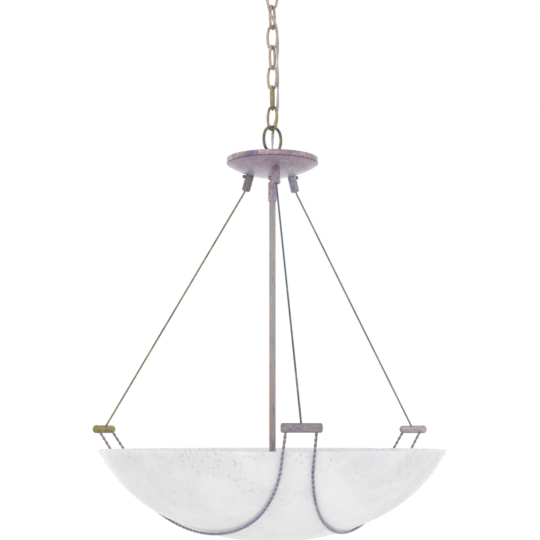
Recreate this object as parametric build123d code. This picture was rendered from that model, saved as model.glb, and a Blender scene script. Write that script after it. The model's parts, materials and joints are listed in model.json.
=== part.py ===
from build123d import *
import math
import os

# A bowl pendant light. Millimetres, +Z up, origin on the ceiling plane at the middle of the fitting.

# Clearances
CHAIN_GAP = 0.3          # between two links that hang in each other
GLASS_GAP = 0.35         # between the glass bowl and the rods that carry it
BALL_GAP = 0.25          # between the faces of the ball swivel
THREAD_GAP = 0.05        # between a screw thread and its nut
SOCKET_GAP = 0.2         # between a piece and the hole that it is pushed into
CORD_GAP = 0.35          # between the cord and the holes that it passes through
LAMP_GAP = 0.3           # between a lamp cap and the screw shell round it
CUT_PAST = 1.0           # how far a cut runs past the face that it opens
BEND_SHARE = 0.45        # the share of a straight run that the bend at either end may take

# Ceiling fitting
STRAP_LENGTH = 104.0
STRAP_WIDTH = 20.0
STRAP_T = 2.0
BOX_SCREW_SPACING = 70.0
BOX_SCREW_HOLE_R = 2.4
GROUND_SCREW_X = 16.0
GROUND_SCREW_R = 2.0
GROUND_SCREW_HEAD_R = 4.0
GROUND_SCREW_HEAD_H = 2.4
GROUND_SCREW_CHAMFER = 0.6
GROUND_SCREW_SLOT_WIDTH = 1.0
GROUND_SCREW_SLOT_DEPTH = 1.0
CANOPY_R = 63.5
CANOPY_DEPTH = 26.0
CANOPY_BAND = 4.0
CANOPY_FLAT_R = 16.0
CANOPY_BULGE = 6.0
CANOPY_WALL = 1.2
COLLAR_R = 13.0
COLLAR_H = 8.0
COLLAR_FILLET = 2.6

# Threaded tube that carries wires, and its nuts
PIPE_R = 4.8
PIPE_BORE_R = 3.3
PIPE_NUT_FLATS = 14.0
PIPE_NUT_H = 4.0
PIPE_IN_HUB_LOOP = 7.0
PIPE_IN_CANOPY_LOOP = 15.0

# Loops at the two ends of the chain
CANOPY_LOOP_LENGTH = 38.0
CANOPY_LOOP_WIDTH = 30.0
CANOPY_LOOP_WIRE = 5.0
CANOPY_LOOP_TURN = 55.0
CANOPY_LOOP_BELOW_COLLAR = 2.0
CANOPY_BOSS_RISE = 14.0
HUB_LOOP_LENGTH = 44.0
HUB_LOOP_WIDTH = 34.6
HUB_LOOP_WIRE = 4.5
HUB_LOOP_TURN = 23.0
LOOP_BOSS_R = 8.0
LOOP_BOSS_H = 9.0

# Chain, from the ceiling down, with each link's turn about the vertical
LINK_LENGTH = 40.0
LINK_WIDTH = 21.0
LINK_WIRE = 4.0
OVAL_END = 0.78  # bend of a ring's ends, as a share of half the ring's width
LINK_TURNS = [-35.0, 58.0, -37.0, 56.0, -46.0, 70.0, -42.0]

# Supply cord, in the order in which it runs down through the chain
CORD_R = 2.25
CORD_POINTS = [
    (0.0, 0.0, -0.8),
    (0.0, 0.0, -46.0),
    (-8.6, -1.2, -69.7),
    (-8.8, -1.8, -101.5),
    (8.8, 1.6, -131.5),
    (8.4, 1.8, -164.0),
    (7.8, 0.6, -196.0),
    (8.9, 0.9, -227.5),
    (8.7, 2.2, -256.5),
    (6.0, 6.0, -275.0),
    (1.8, 9.0, -291.8),
    (0.0, 0.0, -316.0),
    (0.0, 0.0, -342.0),
]

# Hub, the saucer that the cables hang from
HUB_R = 69.0
HUB_BAND = 8.0
HUB_DOME_DEPTH = 20.0
HUB_WALL = 1.5
HUB_LIP = 1.0
HUB_SEAT_R = 10.0
HUB_LEDGE = 3.5
COVER_T = 1.5
COVER_RISE = 5.0
COVER_FLAT_R = 58.0
COVER_BELOW_EDGE = 3.0

# Cable grips under the hub
GRIP_AT_R = 37.0
GRIP_R = 6.4
GRIP_LENGTH = 25.0
GRIP_NOSE = 3.0
GRIP_STUD_R = 2.5
GRIP_STUD_LENGTH = 7.0
GRIP_NUT_FLATS = 8.0
GRIP_NUT_H = 3.0
GRIP_MOUTH_R = 3.2
GRIP_MOUTH_DEPTH = 5.0
GRIP_BORE_DEPTH = 23.0
SET_SCREW_DROP = 3.6
SET_SCREW_R = 1.5
SET_SCREW_HEAD_R = 2.6
SET_SCREW_HEAD_H = 4.0
SET_SCREW_STAND = 0.6
SET_SCREW_CHAMFER = 0.5
CABLE_R = 1.5
CABLE_BEND_R = 15.0
CABLE_IN_BAR = 2.5

# Ball swivel, coupling and stem
BALL_R = 4.4
BALL_BORE_R = 2.2
BALL_NECK_R = 3.2
BALL_NECK_H = 3.0
BALL_COLLAR_R = 6.4
BALL_COLLAR_H = 5.0
BALL_COLLAR_FLOOR = 1.0
BALL_COLLAR_CHAMFER = 1.0
LINER_T = 0.6
LINER_HALF = 2.2
CUP_R = 6.4
CUP_LIP = 2.6
CUP_FLOOR = 1.7
CUP_SPIGOT = 6.2
COUPLING_R = 6.4
COUPLING_LENGTH = 19.6
COUPLING_CHAMFER = 0.8
STEM_R = 4.75
STEM_BORE_R = 3.75
STEM_IN_COUPLING = 9.0

# Glass bowl, whose rim plane lies below the hub's lower edge
HUB_ABOVE_RIM = 427.4
BOWL_R = 255.0
BOWL_SIDE_ARC_R = 227.0
BOWL_FLOOR_ARC_R = 352.0
BOWL_SIDE_REACH = 101.0   # from the rim in to where the floor's arc begins
BOWL_WALL = 5.5
BOWL_LIP_FILLET = 1.6

# Cradle that carries the bowl
BAR_BEYOND_RIM = 29.2
BAR_ABOVE_RIM = 29.9
BAR_R = 6.0
BAR_LENGTH = 53.0
BAR_END_FILLET = 2.2
ROD_R = 2.25
ROD_HOLE_OFFSET = 19.6
ROD_PAST_STRAIGHT = 18.5   # out from the straight line between two bars, at the rim's height
ROD_DRAWN_IN = 36.0        # nearer to the stem under the bowl than at the rim
ROD_SHORT_OF_RIM = 7.4     # how far short of the rim's slope the rod leaves the glass, in degrees
ROD_POINTS = 13
ROD_CHORD_SLACK = 0.35   # taken up where the rod's short straight runs cut its curve
ROD_HALVINGS = 60
ROD_ABOVE_BAR_AXIS = 1.0

# Lamp cluster on the foot of the stem, measured down from the bowl's rim
CLUSTER_AXIS_DROP = 38.0
CLUSTER_R = 24.0
CLUSTER_TOP_DROP = 20.0
CLUSTER_FOOT_DROP = 52.0
CLUSTER_NECK_R = 9.0
CLUSTER_SHOULDER = 4.0
CLUSTER_WALL = 2.0
COVER_PLATE_T = 2.0
COVER_PLATE_CHAMFER = 1.0
FINIAL_R = 8.0
FINIAL_COLLAR_H = 7.0
FINIAL_TIP_R = 7.0
FINIAL_GRIP = 6.0
CHECK_NUT_H = 4.0
CHECK_NUT_CHAMFER = 1.0
WIRE_HOLE_R = 2.2

# Lamp holders and lamps, measured out from the stem's axis
HOLDER_FROM = 26.0
HOLDER_BELOW_GLASS = 0.7
HOLDER_R = 17.0
HOLDER_BACK = 4.0
HOLDER_BEAD = 1.2
HOLDER_BEAD_LENGTH = 5.0
HOLDER_BACK_TAPER = 1.2
ARM_INSIDE = 4.0
SHELL_R = 14.4
SHELL_T = 0.6
SHELL_FROM_BACK = 2.0
SHELL_BELOW_MOUTH = 0.5
CONTACT_WIDTH = 5.0
CONTACT_T = 0.8
CONTACT_REACH = 3.4
CONTACT_ROOT = 12.0
CONTACT_FROM_ARM = 1.6
CAP_FOOT_R = 4.5
CAP_FOOT_H = 1.6
CAP_CONE_H = 4.0
CAP_SHOULDER = 2.0
CAP_SHOULDER_H = 1.0
CAP_LENGTH = 24.6
LAMP_NECK_R = 12.4
LAMP_R = 24.0
LAMP_LENGTH = 85.0
LAMP_WALL = 1.0
LAMP_SEAM = 0.1

# Heights that follow from the sizes above
CANOPY_LOOP_TOP = -CANOPY_DEPTH - COLLAR_H - CANOPY_LOOP_BELOW_COLLAR
CANOPY_BOSS_TOP = -CANOPY_DEPTH + CANOPY_BOSS_RISE
CANOPY_PIPE_FOOT = CANOPY_BOSS_TOP - PIPE_IN_CANOPY_LOOP
CANOPY_LOOP_FOOT = CANOPY_LOOP_TOP - CANOPY_LOOP_LENGTH
FIRST_WIRE = CANOPY_LOOP_FOOT + CANOPY_LOOP_WIRE / 2
LINK_DROP = LINK_LENGTH - LINK_WIRE
LINK_TOPS = [FIRST_WIRE + (CANOPY_LOOP_WIRE + LINK_WIRE) / 2 + CHAIN_GAP]
for _ in LINK_TURNS[1:]:
    LINK_TOPS.append(LINK_TOPS[-1] - LINK_DROP + LINK_WIRE + CHAIN_GAP)
LAST_WIRE = LINK_TOPS[-1] - LINK_DROP
HUB_LOOP_TOP = LAST_WIRE + LINK_WIRE / 2 + HUB_LOOP_WIRE + CHAIN_GAP
HUB_LOOP_SEAT = HUB_LOOP_TOP - HUB_LOOP_LENGTH + HUB_LOOP_WIRE - LOOP_BOSS_H
COVER_SEAT = HUB_LOOP_SEAT - COVER_RISE - COVER_T
HUB_EDGE = COVER_SEAT + COVER_BELOW_EDGE - HUB_BAND
RIM = HUB_EDGE - HUB_ABOVE_RIM
DOME_R = (HUB_R**2 + HUB_DOME_DEPTH**2) / (2 * HUB_DOME_DEPTH)
DOME_CENTRE = HUB_EDGE - HUB_DOME_DEPTH + DOME_R
HUB_SEAT = DOME_CENTRE - math.sqrt(DOME_R**2 - HUB_SEAT_R**2)
HUB_PIPE_FOOT = HUB_SEAT - BALL_COLLAR_H + BALL_COLLAR_FLOOR
HUB_PIPE_TOP = HUB_LOOP_SEAT + PIPE_IN_HUB_LOOP
BALL_AT = HUB_SEAT - BALL_COLLAR_H - BALL_NECK_H - math.sqrt(BALL_R**2 - BALL_NECK_R**2)
LINER_R = BALL_R + BALL_GAP
CUP_SOCKET_R = LINER_R + LINER_T + BALL_GAP
CUP_FOOT = BALL_AT - CUP_SOCKET_R - CUP_FLOOR
CLUSTER_AXIS = RIM - CLUSTER_AXIS_DROP
CLUSTER_TOP = RIM - CLUSTER_TOP_DROP
CLUSTER_FOOT = RIM - CLUSTER_FOOT_DROP
STEM_FOOT = CLUSTER_FOOT - COVER_PLATE_T - FINIAL_GRIP
BAR_AXIS = RIM + BAR_ABOVE_RIM
BAR_AT_R = BOWL_R + BAR_BEYOND_RIM
BOWL_FLOOR_REACH = BOWL_R - BOWL_SIDE_REACH

# Names of the three sides, with their turns from the front, which is -Y
SIDE_STEP = 120.0
SIDES = {"front": 0.0, "right": SIDE_STEP, "left": 2 * SIDE_STEP}


def disc(radius, low, high):
    """A cylinder on the vertical axis."""
    return Pos(0, 0, low) * Cylinder(radius, high - low, align=(Align.CENTER, Align.CENTER, Align.MIN))


def pipe(outer, inner, low, high):
    """A tube on the vertical axis."""
    return disc(outer, low, high) - disc(inner, low - CUT_PAST, high + CUT_PAST)


def turned(*lines):
    """A solid of revolution about the vertical, from lines that bound (radius, height)."""
    return revolve(Plane.XZ * make_face(lines), axis=Axis.Z)


def turned_points(*points):
    """A solid of revolution from straight lines through (radius, height) points."""
    return turned(Polyline(*points, close=True))


def hex_nut(flats, bore, low, height):
    """A hexagon nut on the vertical axis."""
    outline = RegularPolygon(flats / 2, 6, major_radius=False)
    return Pos(0, 0, low) * extrude(outline, height) - disc(bore, low - CUT_PAST, low + height + CUT_PAST)


def swept(path, radius):
    """A round bar along a path."""
    return sweep(Plane(origin=path @ 0, z_dir=path % 0) * Circle(radius), path=path)


def oval(length, width, wire, top, turn):
    """A closed ring of round wire, bent in four arcs, that hangs from its highest point."""
    across = (width - wire) / 2
    along = (length - wire) / 2
    end_r = OVAL_END * across
    reach = along - end_r
    side_r = (reach**2 + across**2 - end_r**2) / (2 * (across - end_r))
    lean = math.atan2(reach, side_r - across)
    x = end_r * math.cos(lean)
    z = reach + end_r * math.sin(lean)
    mid_x = across - side_r * (1 - math.cos(lean / 2))
    mid_z = side_r * math.sin(lean / 2)
    ring = Wire(
        [
            ThreePointArc((across, 0, 0), (mid_x, 0, mid_z), (x, 0, z)),
            ThreePointArc((x, 0, z), (0, 0, along), (-x, 0, z)),
            ThreePointArc((-x, 0, z), (-across, 0, 0), (-x, 0, -z)),
            ThreePointArc((-x, 0, -z), (0, 0, -along), (x, 0, -z)),
            ThreePointArc((x, 0, -z), (mid_x, 0, -mid_z), (across, 0, 0)),
        ]
    )
    body = sweep(Pos(across, 0, 0) * Circle(wire / 2), path=ring)
    return Pos(0, 0, top - length / 2) * Rot(0, 0, turn) * body


def corner_radii(points):
    """The largest bend at each corner of a route that its two runs leave room for."""
    radii = []
    for before, at, after in zip(points, points[1:], points[2:]):
        run_in = Vector(*at) - Vector(*before)
        run_out = Vector(*after) - Vector(*at)
        half_turn = math.radians(run_in.get_angle(run_out)) / 2
        radii.append(BEND_SHARE * min(run_in.length, run_out.length) / math.tan(half_turn))
    return radii


def routed(points):
    """Straight runs through points, joined by tangent arcs."""
    return FilletPolyline(*points, radius=corner_radii(points))


# Ceiling fitting

def make_mounting_strap():
    plate = extrude(SlotOverall(STRAP_LENGTH, STRAP_WIDTH), -STRAP_T)
    holes = {
        0: PIPE_R + THREAD_GAP,
        GROUND_SCREW_X: GROUND_SCREW_R + THREAD_GAP,
        BOX_SCREW_SPACING / 2: BOX_SCREW_HOLE_R,
        -BOX_SCREW_SPACING / 2: BOX_SCREW_HOLE_R,
    }
    for x, radius in holes.items():
        plate -= Pos(x, 0, 0) * disc(radius, -STRAP_T - CUT_PAST, CUT_PAST)
    return plate


def make_ground_screw():
    low = -STRAP_T - GROUND_SCREW_HEAD_H
    head = disc(GROUND_SCREW_HEAD_R, low, -STRAP_T)
    head = chamfer(head.edges().group_by(Axis.Z)[0], GROUND_SCREW_CHAMFER)
    slot = Box(GROUND_SCREW_HEAD_R * 3, GROUND_SCREW_SLOT_WIDTH, GROUND_SCREW_SLOT_DEPTH * 2)
    slot = Pos(0, 0, low) * slot
    return Pos(GROUND_SCREW_X, 0, 0) * (head - slot + disc(GROUND_SCREW_R, -STRAP_T, 0))


def make_canopy_nipple():
    return pipe(PIPE_R, PIPE_BORE_R, CANOPY_PIPE_FOOT, 0)


def make_strap_nut():
    return hex_nut(PIPE_NUT_FLATS, PIPE_R + THREAD_GAP, -STRAP_T - PIPE_NUT_H, PIPE_NUT_H)


def canopy_side(wall):
    """The curved side of the canopy, at a depth inside its outer face."""
    start = Vector(CANOPY_R - wall, -CANOPY_BAND)
    end = Vector(CANOPY_FLAT_R, -CANOPY_DEPTH + wall)
    along = (end - start).normalized()
    out = Vector(-along.Y, along.X)
    return ThreePointArc(start, (start + end) * 0.5 + out * CANOPY_BULGE, end)


def make_ceiling_canopy():
    hole = LOOP_BOSS_R + SOCKET_GAP
    outer = canopy_side(0)
    inner = canopy_side(CANOPY_WALL)
    return turned(
        Line((CANOPY_R, 0), outer @ 0),
        outer,
        Line(outer @ 1, (hole, -CANOPY_DEPTH)),
        Line((hole, -CANOPY_DEPTH), (hole, -CANOPY_DEPTH + CANOPY_WALL)),
        Line((hole, -CANOPY_DEPTH + CANOPY_WALL), inner @ 1),
        inner,
        Line(inner @ 0, (CANOPY_R - CANOPY_WALL, 0)),
        Line((CANOPY_R - CANOPY_WALL, 0), (CANOPY_R, 0)),
    )


def loop_with_boss(ring, low, high, pipe_low, pipe_high):
    """A ring on a round boss that screws on a threaded tube and lets the cord through."""
    body = ring + disc(LOOP_BOSS_R, low, high)
    body -= disc(CORD_R + CORD_GAP, low - LOOP_BOSS_H, high + LOOP_BOSS_H)
    return body - disc(PIPE_R + THREAD_GAP, pipe_low, pipe_high)


def make_canopy_loop():
    ring = oval(
        CANOPY_LOOP_LENGTH, CANOPY_LOOP_WIDTH, CANOPY_LOOP_WIRE, CANOPY_LOOP_TOP, CANOPY_LOOP_TURN
    )
    low = CANOPY_LOOP_TOP - CANOPY_LOOP_WIRE
    return loop_with_boss(ring, low, CANOPY_BOSS_TOP, CANOPY_PIPE_FOOT, CANOPY_BOSS_TOP + CUT_PAST)


def make_canopy_collar():
    foot = -CANOPY_DEPTH - COLLAR_H
    ring = disc(COLLAR_R, foot, -CANOPY_DEPTH)
    ring = fillet(ring.edges().group_by(Axis.Z)[0], COLLAR_FILLET)
    return ring - disc(LOOP_BOSS_R + THREAD_GAP, foot - CUT_PAST, -CANOPY_DEPTH + CUT_PAST)


# Chain and cord

def make_chain_link(number):
    top = LINK_TOPS[number] + LINK_WIRE / 2
    return oval(LINK_LENGTH, LINK_WIDTH, LINK_WIRE, top, LINK_TURNS[number])


def make_supply_cord():
    return swept(routed(CORD_POINTS), CORD_R)


# Hub

def dome_height(radius, wall):
    """The height of the hub's domed face, or of its inner face at a wall's depth."""
    return DOME_CENTRE - math.sqrt((DOME_R - wall) ** 2 - radius**2)


def dome_arc(inner, outer, wall):
    """The domed face's profile between two radii."""
    middle = (inner + outer) / 2
    points = [(r, dome_height(r, wall)) for r in (inner, middle, outer)]
    return ThreePointArc(*points)


def make_hub_pan():
    hole = PIPE_R + SOCKET_GAP
    side = HUB_R - HUB_WALL
    seat = HUB_SEAT + HUB_WALL
    ledge = COVER_SEAT
    face = dome_arc(HUB_SEAT_R, HUB_R - HUB_LIP, 0)
    back = dome_arc(HUB_SEAT_R, side, HUB_WALL)
    pan = turned(
        Line((hole, HUB_SEAT), face @ 0),
        face,
        Polyline(
            face @ 1,
            (HUB_R - HUB_LIP, HUB_EDGE),
            (HUB_R, HUB_EDGE),
            (HUB_R, HUB_EDGE + HUB_BAND),
            (side, HUB_EDGE + HUB_BAND),
            (side, ledge),
            (side - HUB_LEDGE, ledge),
            (side - HUB_LEDGE, ledge - HUB_WALL),
            (side, ledge - HUB_WALL),
            back @ 1,
        ),
        back,
        Polyline(back @ 0, (HUB_SEAT_R, seat), (hole, seat), (hole, HUB_SEAT)),
    )
    for turn in SIDES.values():
        pan -= on_dome(disc(GRIP_STUD_R + SOCKET_GAP, -HUB_WALL, HUB_WALL * 2), turn)
    return pan


def make_hub_cover():
    hole = PIPE_R + SOCKET_GAP
    edge = HUB_R - HUB_WALL - SOCKET_GAP
    low = COVER_SEAT
    high = COVER_SEAT + COVER_RISE
    crown = Spline((COVER_FLAT_R, low), (HUB_SEAT_R, high), tangents=((-1, 0), (-1, 0)))
    top = Spline(
        (COVER_FLAT_R, low + COVER_T), (HUB_SEAT_R, high + COVER_T), tangents=((-1, 0), (-1, 0))
    )
    return turned(
        Line((edge, low), (COVER_FLAT_R, low)),
        crown,
        Polyline(crown @ 1, (hole, high), (hole, high + COVER_T), top @ 1),
        top,
        Polyline(top @ 0, (edge, low + COVER_T), (edge, low)),
    )


def make_hub_loop():
    ring = oval(HUB_LOOP_LENGTH, HUB_LOOP_WIDTH, HUB_LOOP_WIRE, HUB_LOOP_TOP, HUB_LOOP_TURN)
    high = HUB_LOOP_SEAT + LOOP_BOSS_H
    return loop_with_boss(ring, HUB_LOOP_SEAT, high, HUB_LOOP_SEAT - CUT_PAST, HUB_PIPE_TOP)


def make_hub_nipple():
    return pipe(PIPE_R, PIPE_BORE_R, HUB_PIPE_FOOT, HUB_PIPE_TOP)


def make_hub_nut():
    return hex_nut(PIPE_NUT_FLATS, PIPE_R + THREAD_GAP, HUB_SEAT + HUB_WALL, PIPE_NUT_H)


# Cable grips: each is drawn upright with its seat at the origin, then set square on the dome

GRIP_LEAN = math.degrees(math.asin(GRIP_AT_R / DOME_R))


def on_dome(piece, turn):
    """Set an upright piece on the dome, at one of the three sides."""
    seat = (0, -GRIP_AT_R, dome_height(GRIP_AT_R, 0))
    return Rot(0, 0, turn) * Pos(*seat) * Rot(-GRIP_LEAN, 0, 0) * piece


def make_cable_grip(turn):
    barrel = disc(GRIP_R, -GRIP_LENGTH, -THREAD_GAP)
    barrel = fillet(barrel.edges().group_by(Axis.Z)[0], GRIP_NOSE)
    barrel += disc(GRIP_STUD_R, -THREAD_GAP, GRIP_STUD_LENGTH)
    bore = CABLE_R + CORD_GAP
    barrel -= disc(bore, -GRIP_LENGTH - CUT_PAST, -GRIP_LENGTH + GRIP_BORE_DEPTH)
    barrel -= turned_points(
        (0, -GRIP_LENGTH),
        (GRIP_MOUTH_R, -GRIP_LENGTH),
        (bore, -GRIP_LENGTH + GRIP_MOUTH_DEPTH),
        (0, -GRIP_LENGTH + GRIP_MOUTH_DEPTH),
    )
    hole = Rot(90, 0, 0) * disc(SET_SCREW_R + THREAD_GAP, 0, GRIP_R + CUT_PAST)
    return on_dome(barrel - Pos(0, 0, -SET_SCREW_DROP) * hole, turn)


def make_set_screw(turn):
    stand = GRIP_R + SET_SCREW_STAND
    head = disc(SET_SCREW_HEAD_R, stand, stand + SET_SCREW_HEAD_H)
    head = chamfer(head.edges().group_by(Axis.Z)[-1], SET_SCREW_CHAMFER)
    screw = head + disc(SET_SCREW_R, CABLE_R + THREAD_GAP, stand)
    return on_dome(Pos(0, 0, -SET_SCREW_DROP) * Rot(90, 0, 0) * screw, turn)


def make_grip_nuts():
    nut = hex_nut(GRIP_NUT_FLATS, GRIP_STUD_R + THREAD_GAP, HUB_WALL + SOCKET_GAP, GRIP_NUT_H)
    return Compound([on_dome(nut, turn) for turn in SIDES.values()])


# Suspension cables, drawn at the front and then turned

def cable_points():
    """A cable's upper end in its grip, the grip's mouth, and its lower end in the crossbar."""
    lean = math.radians(GRIP_LEAN)
    axis = Vector(0, -math.sin(lean), -math.cos(lean))
    seat = Vector(0, -GRIP_AT_R, dome_height(GRIP_AT_R, 0))
    top = seat + axis * (GRIP_LENGTH - GRIP_BORE_DEPTH)
    mouth = seat + axis * (GRIP_LENGTH - GRIP_MOUTH_DEPTH / 2)
    bar = Vector(0, -BAR_AT_R, BAR_AXIS)
    return top, mouth, bar + (bar - mouth).normalized() * CABLE_IN_BAR


def make_suspension_cable(turn):
    return Rot(0, 0, turn) * swept(FilletPolyline(*cable_points(), radius=CABLE_BEND_R), CABLE_R)


# Ball swivel and stem

def make_swivel_ball():
    body = disc(BALL_COLLAR_R, HUB_SEAT - BALL_COLLAR_H, HUB_SEAT)
    body = chamfer(body.edges().group_by(Axis.Z)[0], BALL_COLLAR_CHAMFER)
    body += disc(BALL_NECK_R, BALL_AT, HUB_SEAT - BALL_COLLAR_H)
    body += Pos(0, 0, BALL_AT) * Sphere(BALL_R)
    body -= disc(BALL_BORE_R, BALL_AT - BALL_R - CUT_PAST, HUB_SEAT + CUT_PAST)
    return body - disc(PIPE_R + THREAD_GAP, HUB_PIPE_FOOT, HUB_SEAT + CUT_PAST)


def make_swivel_liner():
    zone = disc(CUP_SOCKET_R, BALL_AT - LINER_HALF, BALL_AT + LINER_HALF)
    shell = Sphere(LINER_R + LINER_T) - Sphere(LINER_R)
    return zone & (Pos(0, 0, BALL_AT) * shell)


def make_swivel_cup():
    cup = disc(CUP_R, CUP_FOOT, BALL_AT + CUP_LIP)
    cup -= Pos(0, 0, BALL_AT) * Sphere(CUP_SOCKET_R)
    cup += disc(STEM_R, CUP_FOOT - CUP_SPIGOT, CUP_FOOT)
    return cup - disc(BALL_BORE_R, CUP_FOOT - CUP_SPIGOT - CUT_PAST, BALL_AT)


def make_stem_coupling():
    body = pipe(COUPLING_R, STEM_R + THREAD_GAP, CUP_FOOT - COUPLING_LENGTH, CUP_FOOT)
    return chamfer(body.edges().group_by(Axis.Z)[0].sort_by(SortBy.RADIUS)[-1], COUPLING_CHAMFER)


def make_stem_tube():
    top = CUP_FOOT - COUPLING_LENGTH + STEM_IN_COUPLING
    tube = pipe(STEM_R, STEM_BORE_R, STEM_FOOT, top)
    return tube - Pos(0, 0, CLUSTER_AXIS) * Rot(90, 0, 0) * disc(WIRE_HOLE_R, 0, STEM_R + CUT_PAST)


# Lamp cluster

def radial(piece, turn):
    """Lay an upright piece out from the stem at the lamps' height, on one of the three sides."""
    return Rot(0, 0, turn) * Pos(0, 0, CLUSTER_AXIS) * Rot(90, 0, 0) * piece


def make_cluster_body():
    hole = STEM_R + THREAD_GAP
    inner = CLUSTER_R - CLUSTER_WALL
    shoulder = CLUSTER_TOP - CLUSTER_WALL
    body = turned_points(
        (hole, CLUSTER_TOP),
        (CLUSTER_NECK_R, CLUSTER_TOP),
        (CLUSTER_R, CLUSTER_TOP - CLUSTER_SHOULDER),
        (CLUSTER_R, CLUSTER_FOOT),
        (inner, CLUSTER_FOOT),
        (inner, shoulder - CLUSTER_SHOULDER),
        (CLUSTER_NECK_R, shoulder),
        (hole, shoulder),
    )
    for turn in SIDES.values():
        body -= radial(disc(PIPE_R + THREAD_GAP, inner - ARM_INSIDE, CLUSTER_R + CUT_PAST), turn)
    return body


def make_cluster_cover():
    plate = pipe(CLUSTER_R, STEM_R + THREAD_GAP, CLUSTER_FOOT - COVER_PLATE_T, CLUSTER_FOOT)
    return chamfer(plate.edges().group_by(Axis.Z)[0].sort_by(SortBy.RADIUS)[-1], COVER_PLATE_CHAMFER)


def make_stem_check_nut():
    nut = pipe(CLUSTER_NECK_R, STEM_R + THREAD_GAP, CLUSTER_TOP, CLUSTER_TOP + CHECK_NUT_H)
    return chamfer(nut.edges().group_by(Axis.Z)[-1].sort_by(SortBy.RADIUS)[-1], CHECK_NUT_CHAMFER)


def make_finial():
    top = CLUSTER_FOOT - COVER_PLATE_T
    knob = disc(FINIAL_R, top - FINIAL_COLLAR_H, top)
    knob += Pos(0, 0, top - FINIAL_COLLAR_H) * Sphere(FINIAL_TIP_R)
    return knob - disc(STEM_R + THREAD_GAP, STEM_FOOT - THREAD_GAP, top + CUT_PAST)


def make_socket_arms():
    arm = pipe(
        PIPE_R,
        PIPE_BORE_R,
        CLUSTER_R - CLUSTER_WALL - ARM_INSIDE,
        HOLDER_FROM + HOLDER_BACK - THREAD_GAP,
    )
    return Compound([radial(arm, turn) for turn in SIDES.values()])


SHELL_BORE_R = SHELL_R - SHELL_T
CAP_R = SHELL_BORE_R - LAMP_GAP
CAVITY = HOLDER_FROM + HOLDER_BACK
CAP_FROM = CAVITY + CONTACT_REACH + CONTACT_T + LAMP_GAP
CAP_END = CAP_FROM + CAP_LENGTH
HOLDER_MOUTH = CAP_END - HOLDER_BELOW_GLASS


def make_lamp_holder(turn):
    mouth = HOLDER_MOUTH
    holder = turned_points(
        (PIPE_R + THREAD_GAP, HOLDER_FROM),
        (HOLDER_R - HOLDER_BEAD - HOLDER_BACK_TAPER, HOLDER_FROM),
        (HOLDER_R - HOLDER_BEAD, HOLDER_FROM + HOLDER_BACK),
        (HOLDER_R - HOLDER_BEAD, mouth - HOLDER_BEAD_LENGTH),
        (HOLDER_R, mouth - HOLDER_BEAD_LENGTH + HOLDER_BEAD),
        (HOLDER_R, mouth),
        (SHELL_R + SOCKET_GAP, mouth),
        (SHELL_R + SOCKET_GAP, CAVITY),
        (PIPE_R + THREAD_GAP, CAVITY),
    )
    return radial(holder, turn)


def make_socket_shells():
    shell = pipe(
        SHELL_R, SHELL_BORE_R, CAVITY + SHELL_FROM_BACK, HOLDER_MOUTH - SHELL_BELOW_MOUTH
    )
    return Compound([radial(shell, turn) for turn in SIDES.values()])


def make_socket_contacts():
    low = CAVITY
    tip = CAVITY + CONTACT_REACH
    knee = CAP_FOOT_R / 2
    root = PIPE_R + CONTACT_FROM_ARM
    outline = Polyline(
        (CONTACT_ROOT, low),
        (root, low),
        (knee, tip),
        (-knee, tip),
        (-knee, tip + CONTACT_T),
        (knee + CONTACT_T / 2, tip + CONTACT_T),
        (root + CONTACT_T / 2, low + CONTACT_T),
        (CONTACT_ROOT, low + CONTACT_T),
        close=True,
    )
    tongue = extrude(Plane.XZ * make_face(outline), CONTACT_WIDTH / 2, both=True)
    return Compound([radial(tongue, turn) for turn in SIDES.values()])


def make_lamp_cap(turn):
    cone = CAP_FROM + CAP_FOOT_H + CAP_CONE_H
    cap = turned_points(
        (0, CAP_FROM),
        (CAP_FOOT_R, CAP_FROM),
        (CAP_FOOT_R, CAP_FROM + CAP_FOOT_H),
        (CAP_R - CAP_SHOULDER, cone),
        (CAP_R, cone + CAP_SHOULDER_H),
        (CAP_R, CAP_END),
        (0, CAP_END),
    )
    return radial(cap, turn)


def make_lamp_glass(turn):
    tip = CAP_FROM + LAMP_LENGTH
    start = CAP_END + LAMP_SEAM
    middle = tip - LAMP_R
    inside = LAMP_R - LAMP_WALL
    neck = Spline((LAMP_NECK_R, start), (LAMP_R, middle), tangents=((0, 1), (0, 1)))
    bore = Spline((LAMP_NECK_R - LAMP_WALL, start), (inside, middle), tangents=((0, 1), (0, 1)))
    crown = CenterArc((0, middle), LAMP_R, 0, 90)
    hollow = CenterArc((0, middle), inside, 0, 90)
    glass = turned(
        neck,
        crown,
        Line((0, tip), (0, tip - LAMP_WALL)),
        hollow,
        bore,
        Line((LAMP_NECK_R - LAMP_WALL, start), (LAMP_NECK_R, start)),
    )
    return radial(glass, turn)


# Glass bowl: a floor arc and a side arc that meet smoothly

FLOOR_ANGLE = math.asin(BOWL_FLOOR_REACH / BOWL_FLOOR_ARC_R)
SIDE_CENTRE_R = BOWL_FLOOR_REACH - BOWL_SIDE_ARC_R * math.sin(FLOOR_ANGLE)
RIM_ANGLE = math.asin((BOWL_R - SIDE_CENTRE_R) / BOWL_SIDE_ARC_R)
SIDE_CENTRE_Z = RIM + BOWL_SIDE_ARC_R * math.cos(RIM_ANGLE)
FLOOR_CENTRE_Z = SIDE_CENTRE_Z + (BOWL_FLOOR_ARC_R - BOWL_SIDE_ARC_R) * math.cos(FLOOR_ANGLE)


def bowl_point(angle, offset):
    """A point of the bowl's profile by its slope, moved out from the glass by an offset."""
    if angle < FLOOR_ANGLE:
        reach = BOWL_FLOOR_ARC_R + offset
        return reach * math.sin(angle), FLOOR_CENTRE_Z - reach * math.cos(angle)
    reach = BOWL_SIDE_ARC_R + offset
    return SIDE_CENTRE_R + reach * math.sin(angle), SIDE_CENTRE_Z - reach * math.cos(angle)


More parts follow.
